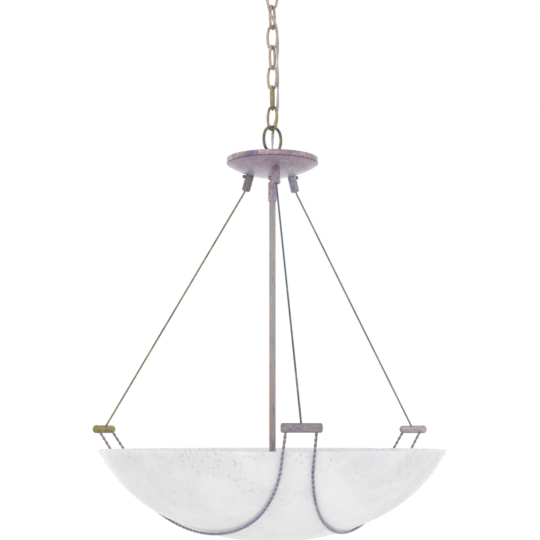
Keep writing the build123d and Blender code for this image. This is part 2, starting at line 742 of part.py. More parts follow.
def bowl_profile(offset, rim_angle):
    """The profile's two arcs, from the axis to the rim."""
    floor = [bowl_point(FLOOR_ANGLE * share, offset) for share in (0, 0.5)]
    joint = bowl_point(FLOOR_ANGLE, offset)
    side = bowl_point((FLOOR_ANGLE + rim_angle) / 2, offset)
    rim = bowl_point(rim_angle, offset)
    return ThreePointArc(*floor, joint), ThreePointArc(joint, side, rim)


def make_glass_bowl():
    inner_rim = math.acos((SIDE_CENTRE_Z - RIM) / (BOWL_SIDE_ARC_R - BOWL_WALL))
    floor, side = bowl_profile(0, RIM_ANGLE)
    inner_floor, inner_side = bowl_profile(-BOWL_WALL, inner_rim)
    bowl = turned(
        floor,
        side,
        Line(side @ 1, inner_side @ 1),
        inner_side,
        inner_floor,
        Line(inner_floor @ 0, floor @ 0),
    )
    return fillet(bowl.edges().group_by(Axis.Z)[-1], BOWL_LIP_FILLET)


# Cradle: crossbars at the cables' feet, and rods from bar to bar that pass under the bowl

ROD_OFFSET = ROD_R + GLASS_GAP + ROD_CHORD_SLACK
ROD_CHORD_RIM = BOWL_R * math.cos(math.radians(SIDE_STEP / 2)) + ROD_PAST_STRAIGHT
ROD_CHORD_FLOOR = ROD_CHORD_RIM - ROD_DRAWN_IN


def rod_chord(height):
    """How far from the bowl's axis the rod's leaning plane stands at a height."""
    floor = FLOOR_CENTRE_Z - BOWL_FLOOR_ARC_R
    share = (RIM - height) / (RIM - floor)
    return ROD_CHORD_RIM + (ROD_CHORD_FLOOR - ROD_CHORD_RIM) * share


def rod_across(slope):
    """The square of the rod's distance from its middle, where the glass has a slope, and its place there."""
    radius, height = bowl_point(slope, ROD_OFFSET)
    chord = rod_chord(height)
    return radius**2 - chord**2, chord, height


def rod_point(across):
    """The rod's point at a distance from its middle, found by halving the range of slopes."""
    low, high = 0.0, RIM_ANGLE
    for _ in range(ROD_HALVINGS):
        middle = (low + high) / 2
        if rod_across(middle)[0] < across**2:
            low = middle
        else:
            high = middle
    _, chord, height = rod_across(high)
    return across, -chord, height


def rod_points():
    """The rod's route, drawn with its middle at the front, from one bar to the next."""
    reach = math.sqrt(rod_across(RIM_ANGLE - math.radians(ROD_SHORT_OF_RIM))[0])
    steps = [math.radians(90 * number / (ROD_POINTS - 1)) for number in range(ROD_POINTS)]
    half = [rod_point(reach * math.sin(step)) for step in steps]
    swing = math.radians(SIDE_STEP / 2)
    bar_x = BAR_AT_R * math.sin(swing) - ROD_HOLE_OFFSET * math.cos(swing)
    bar_y = BAR_AT_R * math.cos(swing) + ROD_HOLE_OFFSET * math.sin(swing)
    half.append((bar_x, -bar_y, BAR_AXIS + ROD_ABOVE_BAR_AXIS))
    other = [(-x, y, z) for x, y, z in reversed(half[1:])]
    return other + half


def make_cradle_rod(turn):
    return Rot(0, 0, turn + SIDE_STEP / 2) * swept(routed(rod_points()), ROD_R)


def make_crossbar(turn):
    bar = Rot(0, 90, 0) * Cylinder(BAR_R, BAR_LENGTH)
    bar = fillet(bar.edges().filter_by(GeomType.CIRCLE), BAR_END_FILLET)
    bar = Pos(0, -BAR_AT_R, BAR_AXIS) * bar
    _, mouth, foot = cable_points()
    bar -= swept(Line(mouth, foot), CABLE_R + CORD_GAP)
    points = rod_points()
    leg = swept(Line(points[-2], points[-1]), ROD_R + SOCKET_GAP)
    for side in (1, -1):
        bar -= Rot(0, 0, -side * SIDE_STEP / 2) * mirror_leg(leg, side)
    return Rot(0, 0, turn) * bar


def mirror_leg(leg, side):
    """The rod's right leg, or its mirror image on the left."""
    return leg if side > 0 else mirror(leg, about=Plane.YZ)


# Write one file for each piece

def all_pieces():
    pieces = {
        "mounting_strap": make_mounting_strap(),
        "ground_screw": make_ground_screw(),
        "canopy_nipple": make_canopy_nipple(),
        "strap_nut": make_strap_nut(),
        "ceiling_canopy": make_ceiling_canopy(),
        "canopy_loop": make_canopy_loop(),
        "canopy_collar": make_canopy_collar(),
        "supply_cord": make_supply_cord(),
        "hub_loop": make_hub_loop(),
        "hub_cover": make_hub_cover(),
        "hub_pan": make_hub_pan(),
        "hub_nipple": make_hub_nipple(),
        "hub_nut": make_hub_nut(),
        "grip_nuts": make_grip_nuts(),
        "swivel_ball": make_swivel_ball(),
        "swivel_liner": make_swivel_liner(),
        "swivel_cup": make_swivel_cup(),
        "stem_coupling": make_stem_coupling(),
        "stem_tube": make_stem_tube(),
        "stem_check_nut": make_stem_check_nut(),
        "cluster_body": make_cluster_body(),
        "cluster_cover": make_cluster_cover(),
        "cluster_finial": make_finial(),
        "socket_arms": make_socket_arms(),
        "socket_shells": make_socket_shells(),
        "socket_contacts": make_socket_contacts(),
        "glass_bowl": make_glass_bowl(),
    }
    for number in range(len(LINK_TURNS)):
        pieces[f"chain_link_{number + 1}"] = make_chain_link(number)
    for side, turn in SIDES.items():
        pieces[f"cable_grip_{side}"] = make_cable_grip(turn)
        pieces[f"set_screw_{side}"] = make_set_screw(turn)
        pieces[f"suspension_cable_{side}"] = make_suspension_cable(turn)
        pieces[f"crossbar_{side}"] = make_crossbar(turn)
        pieces[f"lamp_holder_{side}"] = make_lamp_holder(turn)
        pieces[f"lamp_cap_{side}"] = make_lamp_cap(turn)
        pieces[f"lamp_glass_{side}"] = make_lamp_glass(turn)
    for side, turn in zip(("right", "back", "left"), SIDES.values()):
        pieces[f"cradle_rod_{side}"] = make_cradle_rod(turn)
    return pieces


os.makedirs("parts", exist_ok=True)
for name, piece in all_pieces().items():
    export_step(piece, f"parts/{name}.step")
for name, height in (("rim", RIM), ("ball", BALL_AT), ("lamps", CLUSTER_AXIS), ("last wire", LAST_WIRE)):
    print(name, "at", round(height, 4))
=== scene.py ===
import json
import math

import bmesh
import bpy
from mathutils import Matrix, Vector
from mathutils.kdtree import KDTree


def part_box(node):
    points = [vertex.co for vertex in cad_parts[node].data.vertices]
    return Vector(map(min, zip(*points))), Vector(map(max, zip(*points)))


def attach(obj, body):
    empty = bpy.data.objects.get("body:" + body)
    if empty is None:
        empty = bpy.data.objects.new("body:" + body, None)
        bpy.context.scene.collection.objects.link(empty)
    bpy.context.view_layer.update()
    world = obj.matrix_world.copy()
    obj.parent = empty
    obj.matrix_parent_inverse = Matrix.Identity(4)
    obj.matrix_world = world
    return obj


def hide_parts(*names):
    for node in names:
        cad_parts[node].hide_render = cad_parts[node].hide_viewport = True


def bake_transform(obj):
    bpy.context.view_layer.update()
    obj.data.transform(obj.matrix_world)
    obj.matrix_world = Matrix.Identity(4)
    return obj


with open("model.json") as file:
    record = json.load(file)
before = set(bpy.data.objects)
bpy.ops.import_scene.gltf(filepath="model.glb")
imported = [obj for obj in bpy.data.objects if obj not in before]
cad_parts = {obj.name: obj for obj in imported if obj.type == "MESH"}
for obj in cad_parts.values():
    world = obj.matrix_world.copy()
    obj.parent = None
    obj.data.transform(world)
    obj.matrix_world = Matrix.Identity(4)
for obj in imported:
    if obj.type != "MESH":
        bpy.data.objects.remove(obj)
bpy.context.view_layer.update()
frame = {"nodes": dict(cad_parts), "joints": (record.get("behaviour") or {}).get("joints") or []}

# A bowl pendant light. Sizes are in millimetres and become metres where a mesh is made.

MM = 0.001
FULL_TURN = 2 * math.pi
CREASE = 35.0
SIDES = {"front": 0.0, "right": 120.0, "left": 240.0}
JOINTS = {joint["name"]: joint for joint in frame["joints"]}


def highest(node):
    """The height of a solid's highest point."""
    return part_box(node)[1].z / MM


def lowest(node):
    """The height of a solid's lowest point."""
    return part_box(node)[0].z / MM


def joint_height(name):
    return JOINTS[name]["pos_m"][2] / MM


# Heights and sizes that the solids give
RIM = highest("glass_bowl")
HUB_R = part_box("hub_pan")[1].x / MM
HUB_TOP = highest("hub_pan")
HUB_SEAT = highest("swivel_ball")
BALL_AT = joint_height("stem_swing_a")
LAMPS_AT = joint_height("lamp_turn_front")
BAR_LOW, BAR_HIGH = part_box("crossbar_front")
BAR_AT = (BAR_LOW + BAR_HIGH) / 2 / MM
BAR_LENGTH = (BAR_HIGH.x - BAR_LOW.x) / MM
BAR_R = (BAR_HIGH.z - BAR_LOW.z) / 2 / MM

# Ceiling fitting
CANOPY_R = 63.5
CANOPY_DEPTH = 26.0
CANOPY_EDGE = 4.0
CANOPY_BULGE_R = 42.25
CANOPY_BULGE_DEPTH = 20.42
CANOPY_FLAT_R = 16.0
CANOPY_HOLE_R = 8.2
CANOPY_WALL = 1.2
COLLAR_R = 13.0
COLLAR_FOOT_R = 11.0
COLLAR_BORE_R = 8.05
COLLAR_LENGTH = 8.0
COLLAR_CHAMFER = 1.2
COLLAR_TAPER = 2.4
COLLAR_KNURL = 0.35

# Knurls: how near the radius and how upright a pressed face is, and the edge left round it
KNURL_NEAR = 0.06
KNURL_UPRIGHT = 0.2
KNURL_EDGE = 0.1

# Rings of bent wire: the chain's links and the loops at its ends
OVAL_END = 0.78
OVAL_STEP = math.radians(6)
LINK_LENGTH = 40.0
LINK_WIDTH = 21.0
LINK_WIRE = 4.0
LINK_SEAM = 0.35
LINK_TURNS = [-35.0, 58.0, -37.0, 56.0, -46.0, 70.0, -42.0]
LINK_COUNT = len(LINK_TURNS)
OLIVE_LINKS = 2
WELD_GIRTH = 0.86
CANOPY_LOOP = {"length": 38.0, "width": 30.0, "wire": 5.0}
CANOPY_LOOP_TURN = 55.0
CANOPY_LOOP_DROP = 2.0
HUB_LOOP = {"length": 44.0, "width": 34.6, "wire": 4.5, "end": 0.94}
HUB_LOOP_TURN = 23.0

# Bosses of the loops
BOSS_R = 8.0
BOSS_CORD_R = 2.6
BOSS_PIPE_R = 4.85
CANOPY_BOSS_TOP = -12.0
CANOPY_PIPE_END = -27.0
CANOPY_BOSS_BELOW = 5.0
HUB_BOSS_HEIGHT = 9.0
HUB_BOSS_SHOULDER = 6.6
HUB_BOSS_TOP_R = 5.6
HUB_PIPE_DEPTH = 7.0

# Supply cord, in the order in which it runs down through the chain
CORD_POINTS = [
    (0.0, 0.0, -0.8),
    (0.0, 0.0, -46.0),
    (-8.6, -1.2, -69.7),
    (-8.8, -1.8, -101.5),
    (8.8, 1.6, -131.5),
    (8.4, 1.8, -164.0),
    (7.8, 0.6, -196.0),
    (8.9, 0.9, -227.5),
    (8.7, 2.2, -256.5),
    (6.0, 6.0, -275.0),
    (1.8, 9.0, -291.8),
    (0.0, 0.0, -316.0),
    (0.0, 0.0, -342.0),
]
CORD_STARTS = -18.0
CORD_STEP = 0.8
CORD_BEND_REACH = 12.5
CORD_OVERLAP = 4.0
CORES = 2
CORE_R = 1.15
CORE_OFFSET = 1.05
CORE_LAY = 90.0
CORE_STEPS = 14

# Hub and its lid
HUB_BAND = 8.0
HUB_DOME_DEPTH = 20.0
HUB_WALL = 1.5
HUB_SEAT_R = 10.0
HUB_LIP = 1.0
HUB_INNER_RISE = 0.7
HUB_EDGE = HUB_TOP - HUB_BAND
DOME_R = (HUB_R**2 + HUB_DOME_DEPTH**2) / (2 * HUB_DOME_DEPTH)
DOME_CENTRE = HUB_EDGE - HUB_DOME_DEPTH + DOME_R
PIPE_HOLE_R = 5.0
LID_R = 67.3
LID_FOOT_R = 58.0
LID_FLAT_R = 10.0
LID_DROP = 3.0
LID_RISE = 5.0
LID_SHEET = 1.5

# Cable grips and their screws
GRIP_AT_R = 37.0
GRIP_LEAN = math.asin(GRIP_AT_R / DOME_R)
GRIP_R = 6.4
GRIP_LENGTH = 25.0
GRIP_GAP = 0.05
GRIP_TOP_R = 5.9
GRIP_TOP_EDGE = 0.6
GRIP_NOSE = 3.0
GRIP_MOUTH_R = 3.2
GRIP_MOUTH_DEPTH = 5.0
GRIP_BORE_R = 1.85
GRIP_BORE_DEPTH = 23.0
SCREW_DROP = 3.6
SCREW_R = 1.5
SCREW_FROM = 1.6
SCREW_HEAD_R = 2.6
SCREW_HEAD_FROM = 7.0
SCREW_HEAD_TO = 11.0
SCREW_HEAD_FOOT = 0.4
SCREW_HEAD_EDGE = 0.5
SCREW_SOCKET_R = 1.1
SCREW_SOCKET_DEPTH = 1.2
SCREW_KNURL = 0.2

# Suspension cables
CABLE_R = 1.5
CABLE_BEND = 12 * CABLE_R
CABLE_IN_BAR = 2.5
CABLE_LAY = 11.0
CABLE_STEPS = 10
CABLE_STRANDS = 3
CABLE_STRAND_R = 0.8
CABLE_TWIST_R = 0.72
CABLE_PATH_STEP = 4.0
RELIEF_STEP = 0.5

# Swivel and stem
WIRE_WAY_R = 2.2
SWIVEL_R = 6.4
BALL_R = 4.4
BALL_NECK_R = 3.2
STUD_LENGTH = 5.0
STUD_CHAMFER = 1.0
CUP_BORE_R = 5.5
CUP_LIP = 2.6
CUP_LIP_R = 5.9
CUP_LIP_SLOPE = 0.8
CUP_DEPTH = 7.2
CUP_FOOT = BALL_AT - CUP_DEPTH
CUP_THREAD = 6.2
CUP_THREAD_R = 4.75
GROOVE_R = 5.6
GROOVE_SLOPE = 0.9
COUPLING_LENGTH = 19.6
COUPLING_BORE_R = 4.8
COUPLING_CHAMFER = 0.8
STEM_R = 4.75
STEM_BORE_R = 3.75
STEM_WARM_LOW = RIM + 13.5
STEM_WARM_HIGH = RIM + 173.5

# Bowl: a floor arc that runs on into a side arc
BOWL_R = 255.0
BOWL_WALL = 5.5
BOWL_RIM_SOFT = 1.6
BOWL_SIDE_ARC_R = 227.0
BOWL_FLOOR_ARC_R = 352.0
BOWL_FLOOR_REACH = 154.0
FLOOR_ANGLE = math.asin(BOWL_FLOOR_REACH / BOWL_FLOOR_ARC_R)
SIDE_CENTRE_R = BOWL_FLOOR_REACH - BOWL_SIDE_ARC_R * math.sin(FLOOR_ANGLE)
RIM_ANGLE = math.asin((BOWL_R - SIDE_CENTRE_R) / BOWL_SIDE_ARC_R)
SIDE_CENTRE_Z = RIM + BOWL_SIDE_ARC_R * math.cos(RIM_ANGLE)
FLOOR_CENTRE_Z = SIDE_CENTRE_Z + (BOWL_FLOOR_ARC_R - BOWL_SIDE_ARC_R) * math.cos(FLOOR_ANGLE)
BOWL_DEPTH = RIM - (FLOOR_CENTRE_Z - BOWL_FLOOR_ARC_R)

# Cradle
BAR_SOFT = 2.2
ROD_OFFSET = 2.95
ROD_HOLE_OFFSET = 19.6
ROD_SHORT_OF_RIM = math.radians(7.4)
ROD_CHORD_RIM = 146.0
ROD_CHORD_FLOOR = 110.0
ROD_POINTS = 13
ROD_HALVINGS = 60
ROD_ABOVE_BAR_AXIS = 1.0
ROD_SHOULDER = 0.12
ROD_TURN = 60.0
ROD_LAY = 17.0
ROD_STEPS = 20
ROD_STRANDS = 2
ROD_STRAND_R = 1.3
ROD_TWIST_R = 0.8
ROD_WARM_LOW = RIM - 16.5
ROD_WARM_HIGH = RIM + 23.5

# Lamp caps, measured out from the stem
CAP_FROM = 34.5
CAP_LENGTH = 24.6
CAP_TIP_R = 4.5
CAP_TIP = 1.6
CAP_CONE_R = 11.5
CAP_CONE = 5.6
CAP_SHOULDER_R = 13.2
CAP_SHOULDER = 6.6
CAP_SKIRT_R = 13.4
CAP_SKIRT = 1.0
CAP_CREASE = 50.0
THREAD_FROM = 8.2
THREAD_PITCH = 3.63
THREAD_TURNS = 4
THREAD_CREST_R = 13.5
THREAD_ROOT_R = 12.7
THREAD_FLAT = 0.6
THREAD_SLOPE = 1.2


# Shapes

def spread(first, last, steps):
    """Values at even steps from the first to the last."""
    return [first + (last - first) * n / steps for n in range(steps + 1)]


def arc(start, middle, end, steps):
    """Points on the arc through three points, each (radius, height)."""
    (ax, ay), (bx, by), (cx, cy) = start, middle, end
    d = 2 * (ax * (by - cy) + bx * (cy - ay) + cx * (ay - by))
    squares = (ax**2 + ay**2, bx**2 + by**2, cx**2 + cy**2)
    ux = (squares[0] * (by - cy) + squares[1] * (cy - ay) + squares[2] * (ay - by)) / d
    uy = (squares[0] * (cx - bx) + squares[1] * (ax - cx) + squares[2] * (bx - ax)) / d
    radius = math.hypot(ax - ux, ay - uy)
    first = math.atan2(ay - uy, ax - ux)
    half = math.remainder(math.atan2(by - uy, bx - ux) - first, FULL_TURN)
    rest = math.remainder(math.atan2(cy - uy, cx - ux) - first - half, FULL_TURN)
    turns = spread(first, first + half + rest, steps)
    return [(ux + radius * math.cos(t), uy + radius * math.sin(t)) for t in turns]


def rounded(radius, end, soft, steps=6):
    """The quarter round between a side at a radius and an end face at a height, from the side on."""
    up = math.copysign(1.0, end)
    inward = soft * (1 - math.sqrt(0.5))
    return arc((radius, end - up * soft), (radius - inward, end - up * inward), (radius - soft, end), steps)


def beside(ball_r, across):
    """How far along its axis a ball's surface is from its middle, at a distance across."""
    return math.sqrt(ball_r**2 - across**2)


def sharp(vert, least=math.radians(25)):
    """Whether a profile turns by more than a little at a corner."""
    if len(vert.link_edges) != 2:
        return False
    a, b = (edge.other_vert(vert).co - vert.co for edge in vert.link_edges)
    return a.length > 0 and b.length > 0 and math.pi - a.angle(b) > least


def turned(profile, soften=0.0, segments=64, steps=2, touching=1e-7):
    """A shape of revolution about Z from a closed loop of (radius, height), with softened corners."""
    bm = bmesh.new()
    ring = [bm.verts.new((r * MM, 0, z * MM)) for r, z in profile]
    for pair in zip(ring, ring[1:] + ring[:1]):
        bm.edges.new(pair)
    if soften:
        corners = [v for v in ring if v.co.x > soften * MM and sharp(v)]
        bmesh.ops.bevel(
            bm, geom=corners, offset=soften * MM, offset_type="OFFSET", segments=steps,
            profile=0.5, affect="VERTICES", material=-1, clamp_overlap=True,
        )
    axis_edges = [e for e in bm.edges if all(v.co.x < touching for v in e.verts)]
    bmesh.ops.delete(bm, geom=axis_edges, context="EDGES")
    bmesh.ops.spin(
        bm, geom=bm.verts[:] + bm.edges[:], cent=(0, 0, 0), axis=(0, 0, 1), angle=FULL_TURN,
        steps=segments, use_merge=True, use_duplicate=False,
    )
    bmesh.ops.remove_doubles(bm, verts=bm.verts[:], dist=touching)
    bmesh.ops.recalc_face_normals(bm, faces=bm.faces[:])
    return bm


def knurl(bm, radius, depth, low, high):
    """Press every other outer face of a turned shape inwards, between two heights."""
    faces = []
    for face in bm.faces:
        centre = face.calc_center_median()
        outer = abs(centre.xy.length - radius * MM) < KNURL_NEAR * radius * MM
        if outer and abs(face.normal.z) < KNURL_UPRIGHT and low * MM < centre.z < high * MM:
            faces.append(face)
    faces.sort(key=lambda f: math.atan2(f.calc_center_median().y, f.calc_center_median().x))
    bmesh.ops.inset_individual(bm, faces=faces[::2], thickness=KNURL_EDGE * MM, depth=-depth * MM)


def bent_on(bm, ring, centre, angle):
    """Carry a ring of edges on round a bend about the Y axis."""
    verts = list(dict.fromkeys(v for edge in ring for v in edge.verts))
    made = bmesh.ops.spin(
        bm, geom=verts + ring, cent=centre, axis=(0, -1, 0), angle=angle,
        steps=max(1, round(angle / OVAL_STEP)), use_merge=False, use_duplicate=False,
    )
    return [g for g in made["geom_last"] if isinstance(g, bmesh.types.BMEdge)]


def oval(length, width, wire, end=OVAL_END, seam=0.0, around=14, touching=1e-6):
    """A ring of round wire in the XZ plane, bent in four arcs, with its highest point at the origin.

    The end arcs' radius is a share of half the width. A seam is half the width of a weld's groove.
    """
    across = (width - wire) / 2 * MM
    along = (length - wire) / 2 * MM
    end_r = end * across
    reach = along - end_r
    side_r = (reach**2 + across**2 - end_r**2) / (2 * (across - end_r))
    lean = math.atan2(reach, side_r - across)
    top = Vector((0, 0, reach))
    side = Vector((side_r - across, 0, 0))
    half_side = [(-side, lean)]
    if seam:
        half_side = [(-side, seam * MM / side_r), (-side, lean - seam * MM / side_r)]
    over = math.pi - 2 * lean
    bends = [*half_side, (top, over), (side, 2 * lean), (-top, over), *reversed(half_side)]
    bm = bmesh.new()
    made = bmesh.ops.create_circle(bm, segments=around, radius=wire / 2 * MM)
    bmesh.ops.translate(bm, verts=made["verts"], vec=(across, 0, 0))
    ring = list(dict.fromkeys(edge for vert in made["verts"] for edge in vert.link_edges))
    for centre, angle in bends:
        ring = bent_on(bm, ring, centre, angle)
    bmesh.ops.remove_doubles(bm, verts=bm.verts[:], dist=touching)
    if seam:
        weld = [v for v in bm.verts if v.co.x > 0 and abs(v.co.z) < 0.1 * seam * MM]
        space = Matrix.Translation((-across, 0, 0))
        bmesh.ops.scale(bm, verts=weld, vec=(WELD_GIRTH, WELD_GIRTH, 1), space=space)
    bmesh.ops.recalc_face_normals(bm, faces=bm.faces[:])
    bmesh.ops.translate(bm, verts=bm.verts[:], vec=(0, 0, -length / 2 * MM))
    return bm


def line_through(points):
    """Points read along the smooth line that has a route's points as its controls, in metres."""
    curve = bpy.data.curves.new("route", "CURVE")
    curve.dimensions = "3D"
    curve.resolution_u = 24
    spline = curve.splines.new("NURBS")
    spline.points.add(len(points) - 1)
    for control, point in zip(spline.points, points):
        control.co = (*(Vector(point) * MM), 1)
    spline.order_u = 3
    spline.use_endpoint_u = True
    holder = bpy.data.objects.new("route", curve)
    mesh = bpy.data.meshes.new_from_object(holder)
    line = [v.co.copy() for v in mesh.vertices]
    bpy.data.objects.remove(holder)
    bpy.data.curves.remove(curve)
    bpy.data.meshes.remove(mesh)
    return line


def length_of(line):
    return sum((b - a).length for a, b in zip(line, line[1:]))


def spaced(line, step):
    """The same line with its points an even step apart, both in metres."""
    along = [0.0]
    for a, b in zip(line, line[1:]):
        along.append(along[-1] + (b - a).length)
    count = max(2, round(along[-1] / step))
    made, place = [], 0
    for at in spread(0.0, along[-1], count):
        while place < len(line) - 2 and along[place + 1] < at:
            place += 1
        run = along[place + 1] - along[place]
        share = (at - along[place]) / run if run > 0 else 0.0
        made.append(line[place].lerp(line[place + 1], share))
    return made


def wound(line, count, twist_r, lay, per_lay):
    """The lines of strands that wind round a line, in metres, once in the length of a lay."""
    line = spaced(line, lay * MM / per_lay)
    step = (line[1] - line[0]).length
    ahead = (line[1] - line[0]).normalized()
    side = ahead.orthogonal().normalized()
    strands = [[] for _ in range(count)]
    for number, point in enumerate(line):
        after = line[min(number + 1, len(line) - 1)]
        before = line[max(number - 1, 0)]
        new_ahead = (after - before).normalized()
        side = ahead.rotation_difference(new_ahead) @ side
        ahead = new_ahead
        other = ahead.cross(side)
        turn = FULL_TURN * number * step / (lay * MM)
        for place, strand in enumerate(strands):
            t = turn + FULL_TURN * place / count
            strand.append(point + (side * math.cos(t) + other * math.sin(t)) * twist_r * MM)
    return strands


def rope_mesh(name, lines, radius, roundness=2):
    """Round strands along lines, as one mesh."""
    curve = bpy.data.curves.new(name, "CURVE")
    curve.dimensions = "3D"
    curve.bevel_depth = radius * MM
    curve.bevel_resolution = roundness
    curve.use_fill_caps = True
    for line in lines:
        spline = curve.splines.new("POLY")
        spline.points.add(len(line) - 1)
        for control, point in zip(spline.points, line):
            control.co = (*point, 1)
    holder = bpy.data.objects.new(name, curve)
    mesh = bpy.data.meshes.new_from_object(holder)
    bpy.data.objects.remove(holder)
    bpy.data.curves.remove(curve)
    mesh.name = name
    return mesh


def mark_relief(mesh, line, outer_r):
    """Keep on a rope's mesh how far out each point stands, as a share of an outer radius."""
    middle = spaced(line, RELIEF_STEP * MM)
    tree = KDTree(len(middle))
    for number, point in enumerate(middle):
        tree.insert(point, number)
    tree.balance()
    reach = [tree.find(vert.co)[2] / (outer_r * MM) for vert in mesh.vertices]
    mesh.attributes.new("relief", "FLOAT", "POINT").data.foreach_set("value", reach)


def rotated(degrees, axis="Z"):
    return Matrix.Rotation(math.radians(degrees), 4, axis)


def moved(x, y, z):
    return Matrix.Translation(Vector((x, y, z)) * MM)


def hung(height, turn):
    """A place on the chain's line, and a turn about it in degrees."""
    return moved(0, 0, height) @ rotated(turn)


def join(target, *others):
    """Add other shapes to a shape."""
    for other in others:
        mesh = bpy.data.meshes.new("joined")
        other.to_mesh(mesh)
        other.free()
        target.from_mesh(mesh)
        bpy.data.meshes.remove(mesh)
    return target


def shown(mesh, name, finish, nodes, crease=CREASE):
    """A finished object at the origin that stands for its solids."""
    mesh.shade_smooth()
    mesh.set_sharp_from_angle(angle=math.radians(crease))
    mesh.materials.clear()
    mesh.materials.append(finish)
    obj = bpy.data.objects.new(name, mesh)
    bpy.context.scene.collection.objects.link(obj)
    if nodes:
        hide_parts(*nodes)
    return obj


def piece(bm, name, finish, slot, body, *nodes, place=Matrix(), crease=CREASE):
    """A shape set in its place, riding on a body."""
    bm.transform(place)
    mesh = bpy.data.meshes.new(name)
    bm.to_mesh(mesh)
    bm.free()
    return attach(shown(mesh, name, finish, nodes, crease), body)


# Finishes

def srgb(red, green, blue):
    """A colour from its 0 to 255 values on a screen."""
    values = [c / 255 for c in (red, green, blue)]
    return tuple(c / 12.92 if c <= 0.04045 else ((c + 0.055) / 1.055) ** 2.4 for c in values) + (1.0,)


class Value:
    """A socket in a node tree, so that sums on it read as sums."""

    def __init__(self, finish, socket):
        self.finish = finish
        self.socket = socket

    def sum(self, operation, first, second):
        return self.finish.node("ShaderNodeMath", {"operation": operation}, {0: first, 1: second})

    def __add__(self, other):
        return self.sum("ADD", self, other)

    def __radd__(self, other):
        return self.sum("ADD", other, self)

    def __sub__(self, other):
        return self.sum("SUBTRACT", self, other)

    def __rsub__(self, other):
        return self.sum("SUBTRACT", other, self)

    def __mul__(self, other):
        return self.sum("MULTIPLY", self, other)

    def __rmul__(self, other):
        return self.sum("MULTIPLY", other, self)

    def __abs__(self):
        return self.finish.node("ShaderNodeMath", {"operation": "ABSOLUTE"}, {0: self})


class Finish:
    """A node tree that is written as expressions."""

    def __init__(self, owner):
        owner.use_nodes = True
        self.tree = owner.node_tree
        self.tree.nodes.clear()

    def node(self, kind, settings=None, sockets=None, output=0):
        """A node's output, with its settings and then the values or links of its sockets."""
        made = self.tree.nodes.new(kind)
        for key, setting in (settings or {}).items():
            setattr(made, key, setting)
        for key, given in (sockets or {}).items():
            if isinstance(given, Value):
                self.tree.links.new(given.socket, made.inputs[key])
            else:
                made.inputs[key].default_value = given
        return Value(self, made.outputs[output]) if made.outputs else None

    def place(self, stretch=(1, 1, 1)):
        at = self.node("ShaderNodeTexCoord", output="Object")
        return self.node("ShaderNodeMapping", {"vector_type": "POINT"}, {"Vector": at, "Scale": stretch})

    def height(self):
        at = self.node("ShaderNodeTexCoord", output="Object")
        return self.node("ShaderNodeSeparateXYZ", {}, {"Vector": at}, output="Z")

    def noise(self, scale, detail=3.0, rough=0.55, warp=0.0, stretch=(1, 1, 1)):
        sockets = {
            "Vector": self.place(stretch), "Scale": scale, "Detail": detail,
            "Roughness": rough, "Distortion": warp,
        }
        return self.node("ShaderNodeTexNoise", {}, sockets)

    def band(self, value, low, high):
        """0 below low, 1 above high, and smooth between them."""
        sockets = {"Value": value, "From Min": low, "From Max": high}
        return self.node("ShaderNodeMapRange", {"interpolation_type": "SMOOTHSTEP"}, sockets)

    def mix(self, under, over, share):
        settings = {"data_type": "RGBA", "blend_type": "MIX"}
        return self.node("ShaderNodeMix", settings, {"Factor": share, 6: under, 7: over}, output=2)

    def tint(self, colour, tone, value, low, high, strength):
        """Lay a tone over a colour where a value rises from low to high."""
        return self.mix(colour, tone, self.band(value, low, high) * strength)

    def surface(self, colour, bump=None, bump_height=0.0, **sockets):
        """The surface of a material. The height of its bumps is in millimetres."""
        given = {key.replace("_", " ").title(): v for key, v in sockets.items()}
        given["Base Color"] = colour
        if bump is not None:
            bumps = {"Strength": 1.0, "Distance": bump_height * MM, "Height": bump}
            given["Normal"] = self.node("ShaderNodeBump", {}, bumps)
        shader = self.node("ShaderNodeBsdfPrincipled", {}, given)
        self.node("ShaderNodeOutputMaterial", {}, {"Surface": shader})


def new_finish(name):
    material = bpy.data.materials.new(name)
    return material, Finish(material)


def mottled(make, tones, patch, stretch=(1, 1, 1)):
    """The colour of a patina in five tones, and the grain that goes with it."""
    broad = make.noise(scale=patch * 0.35, detail=2.0, warp=0.6, stretch=stretch)
    small = make.noise(scale=patch, detail=4.0, rough=0.6, warp=0.8, stretch=stretch)
    fine = make.noise(scale=patch * 4, detail=3.0, rough=0.65, stretch=stretch)
    grain = fine + small
    hollow = 1 - make.band(grain, low=0.74, high=0.96)
    colour = make.tint(tones["base"], tones["cool"], broad, low=0.48, high=0.62, strength=0.8)
    colour = make.tint(colour, tones["warm"], small, low=0.54, high=0.66, strength=0.8)
    colour = make.tint(colour, tones["pale"], grain, low=1.04, high=1.3, strength=0.6)
    return make.mix(colour, tones["dark"], hollow * 0.6), grain


def patinated(make, colour, grain, metallic=0.25, roughness=0.42, coat=0.3):
    """The surface of a lacquered patina. Its grain lies about 1."""
    make.surface(
        colour,
        metallic=metallic,
        roughness=roughness + (grain - 1) * 0.25,
        coat_weight=coat,
        coat_roughness=0.22,
        bump=grain,
        bump_height=0.06,
    )


def aged_metal(name, tones, metallic=0.25, roughness=0.42, patch=90.0):
    """Metal with a mottled patina."""
    material, make = new_finish(name)
    patinated(make, *mottled(make, tones, patch), metallic, roughness)
    return material


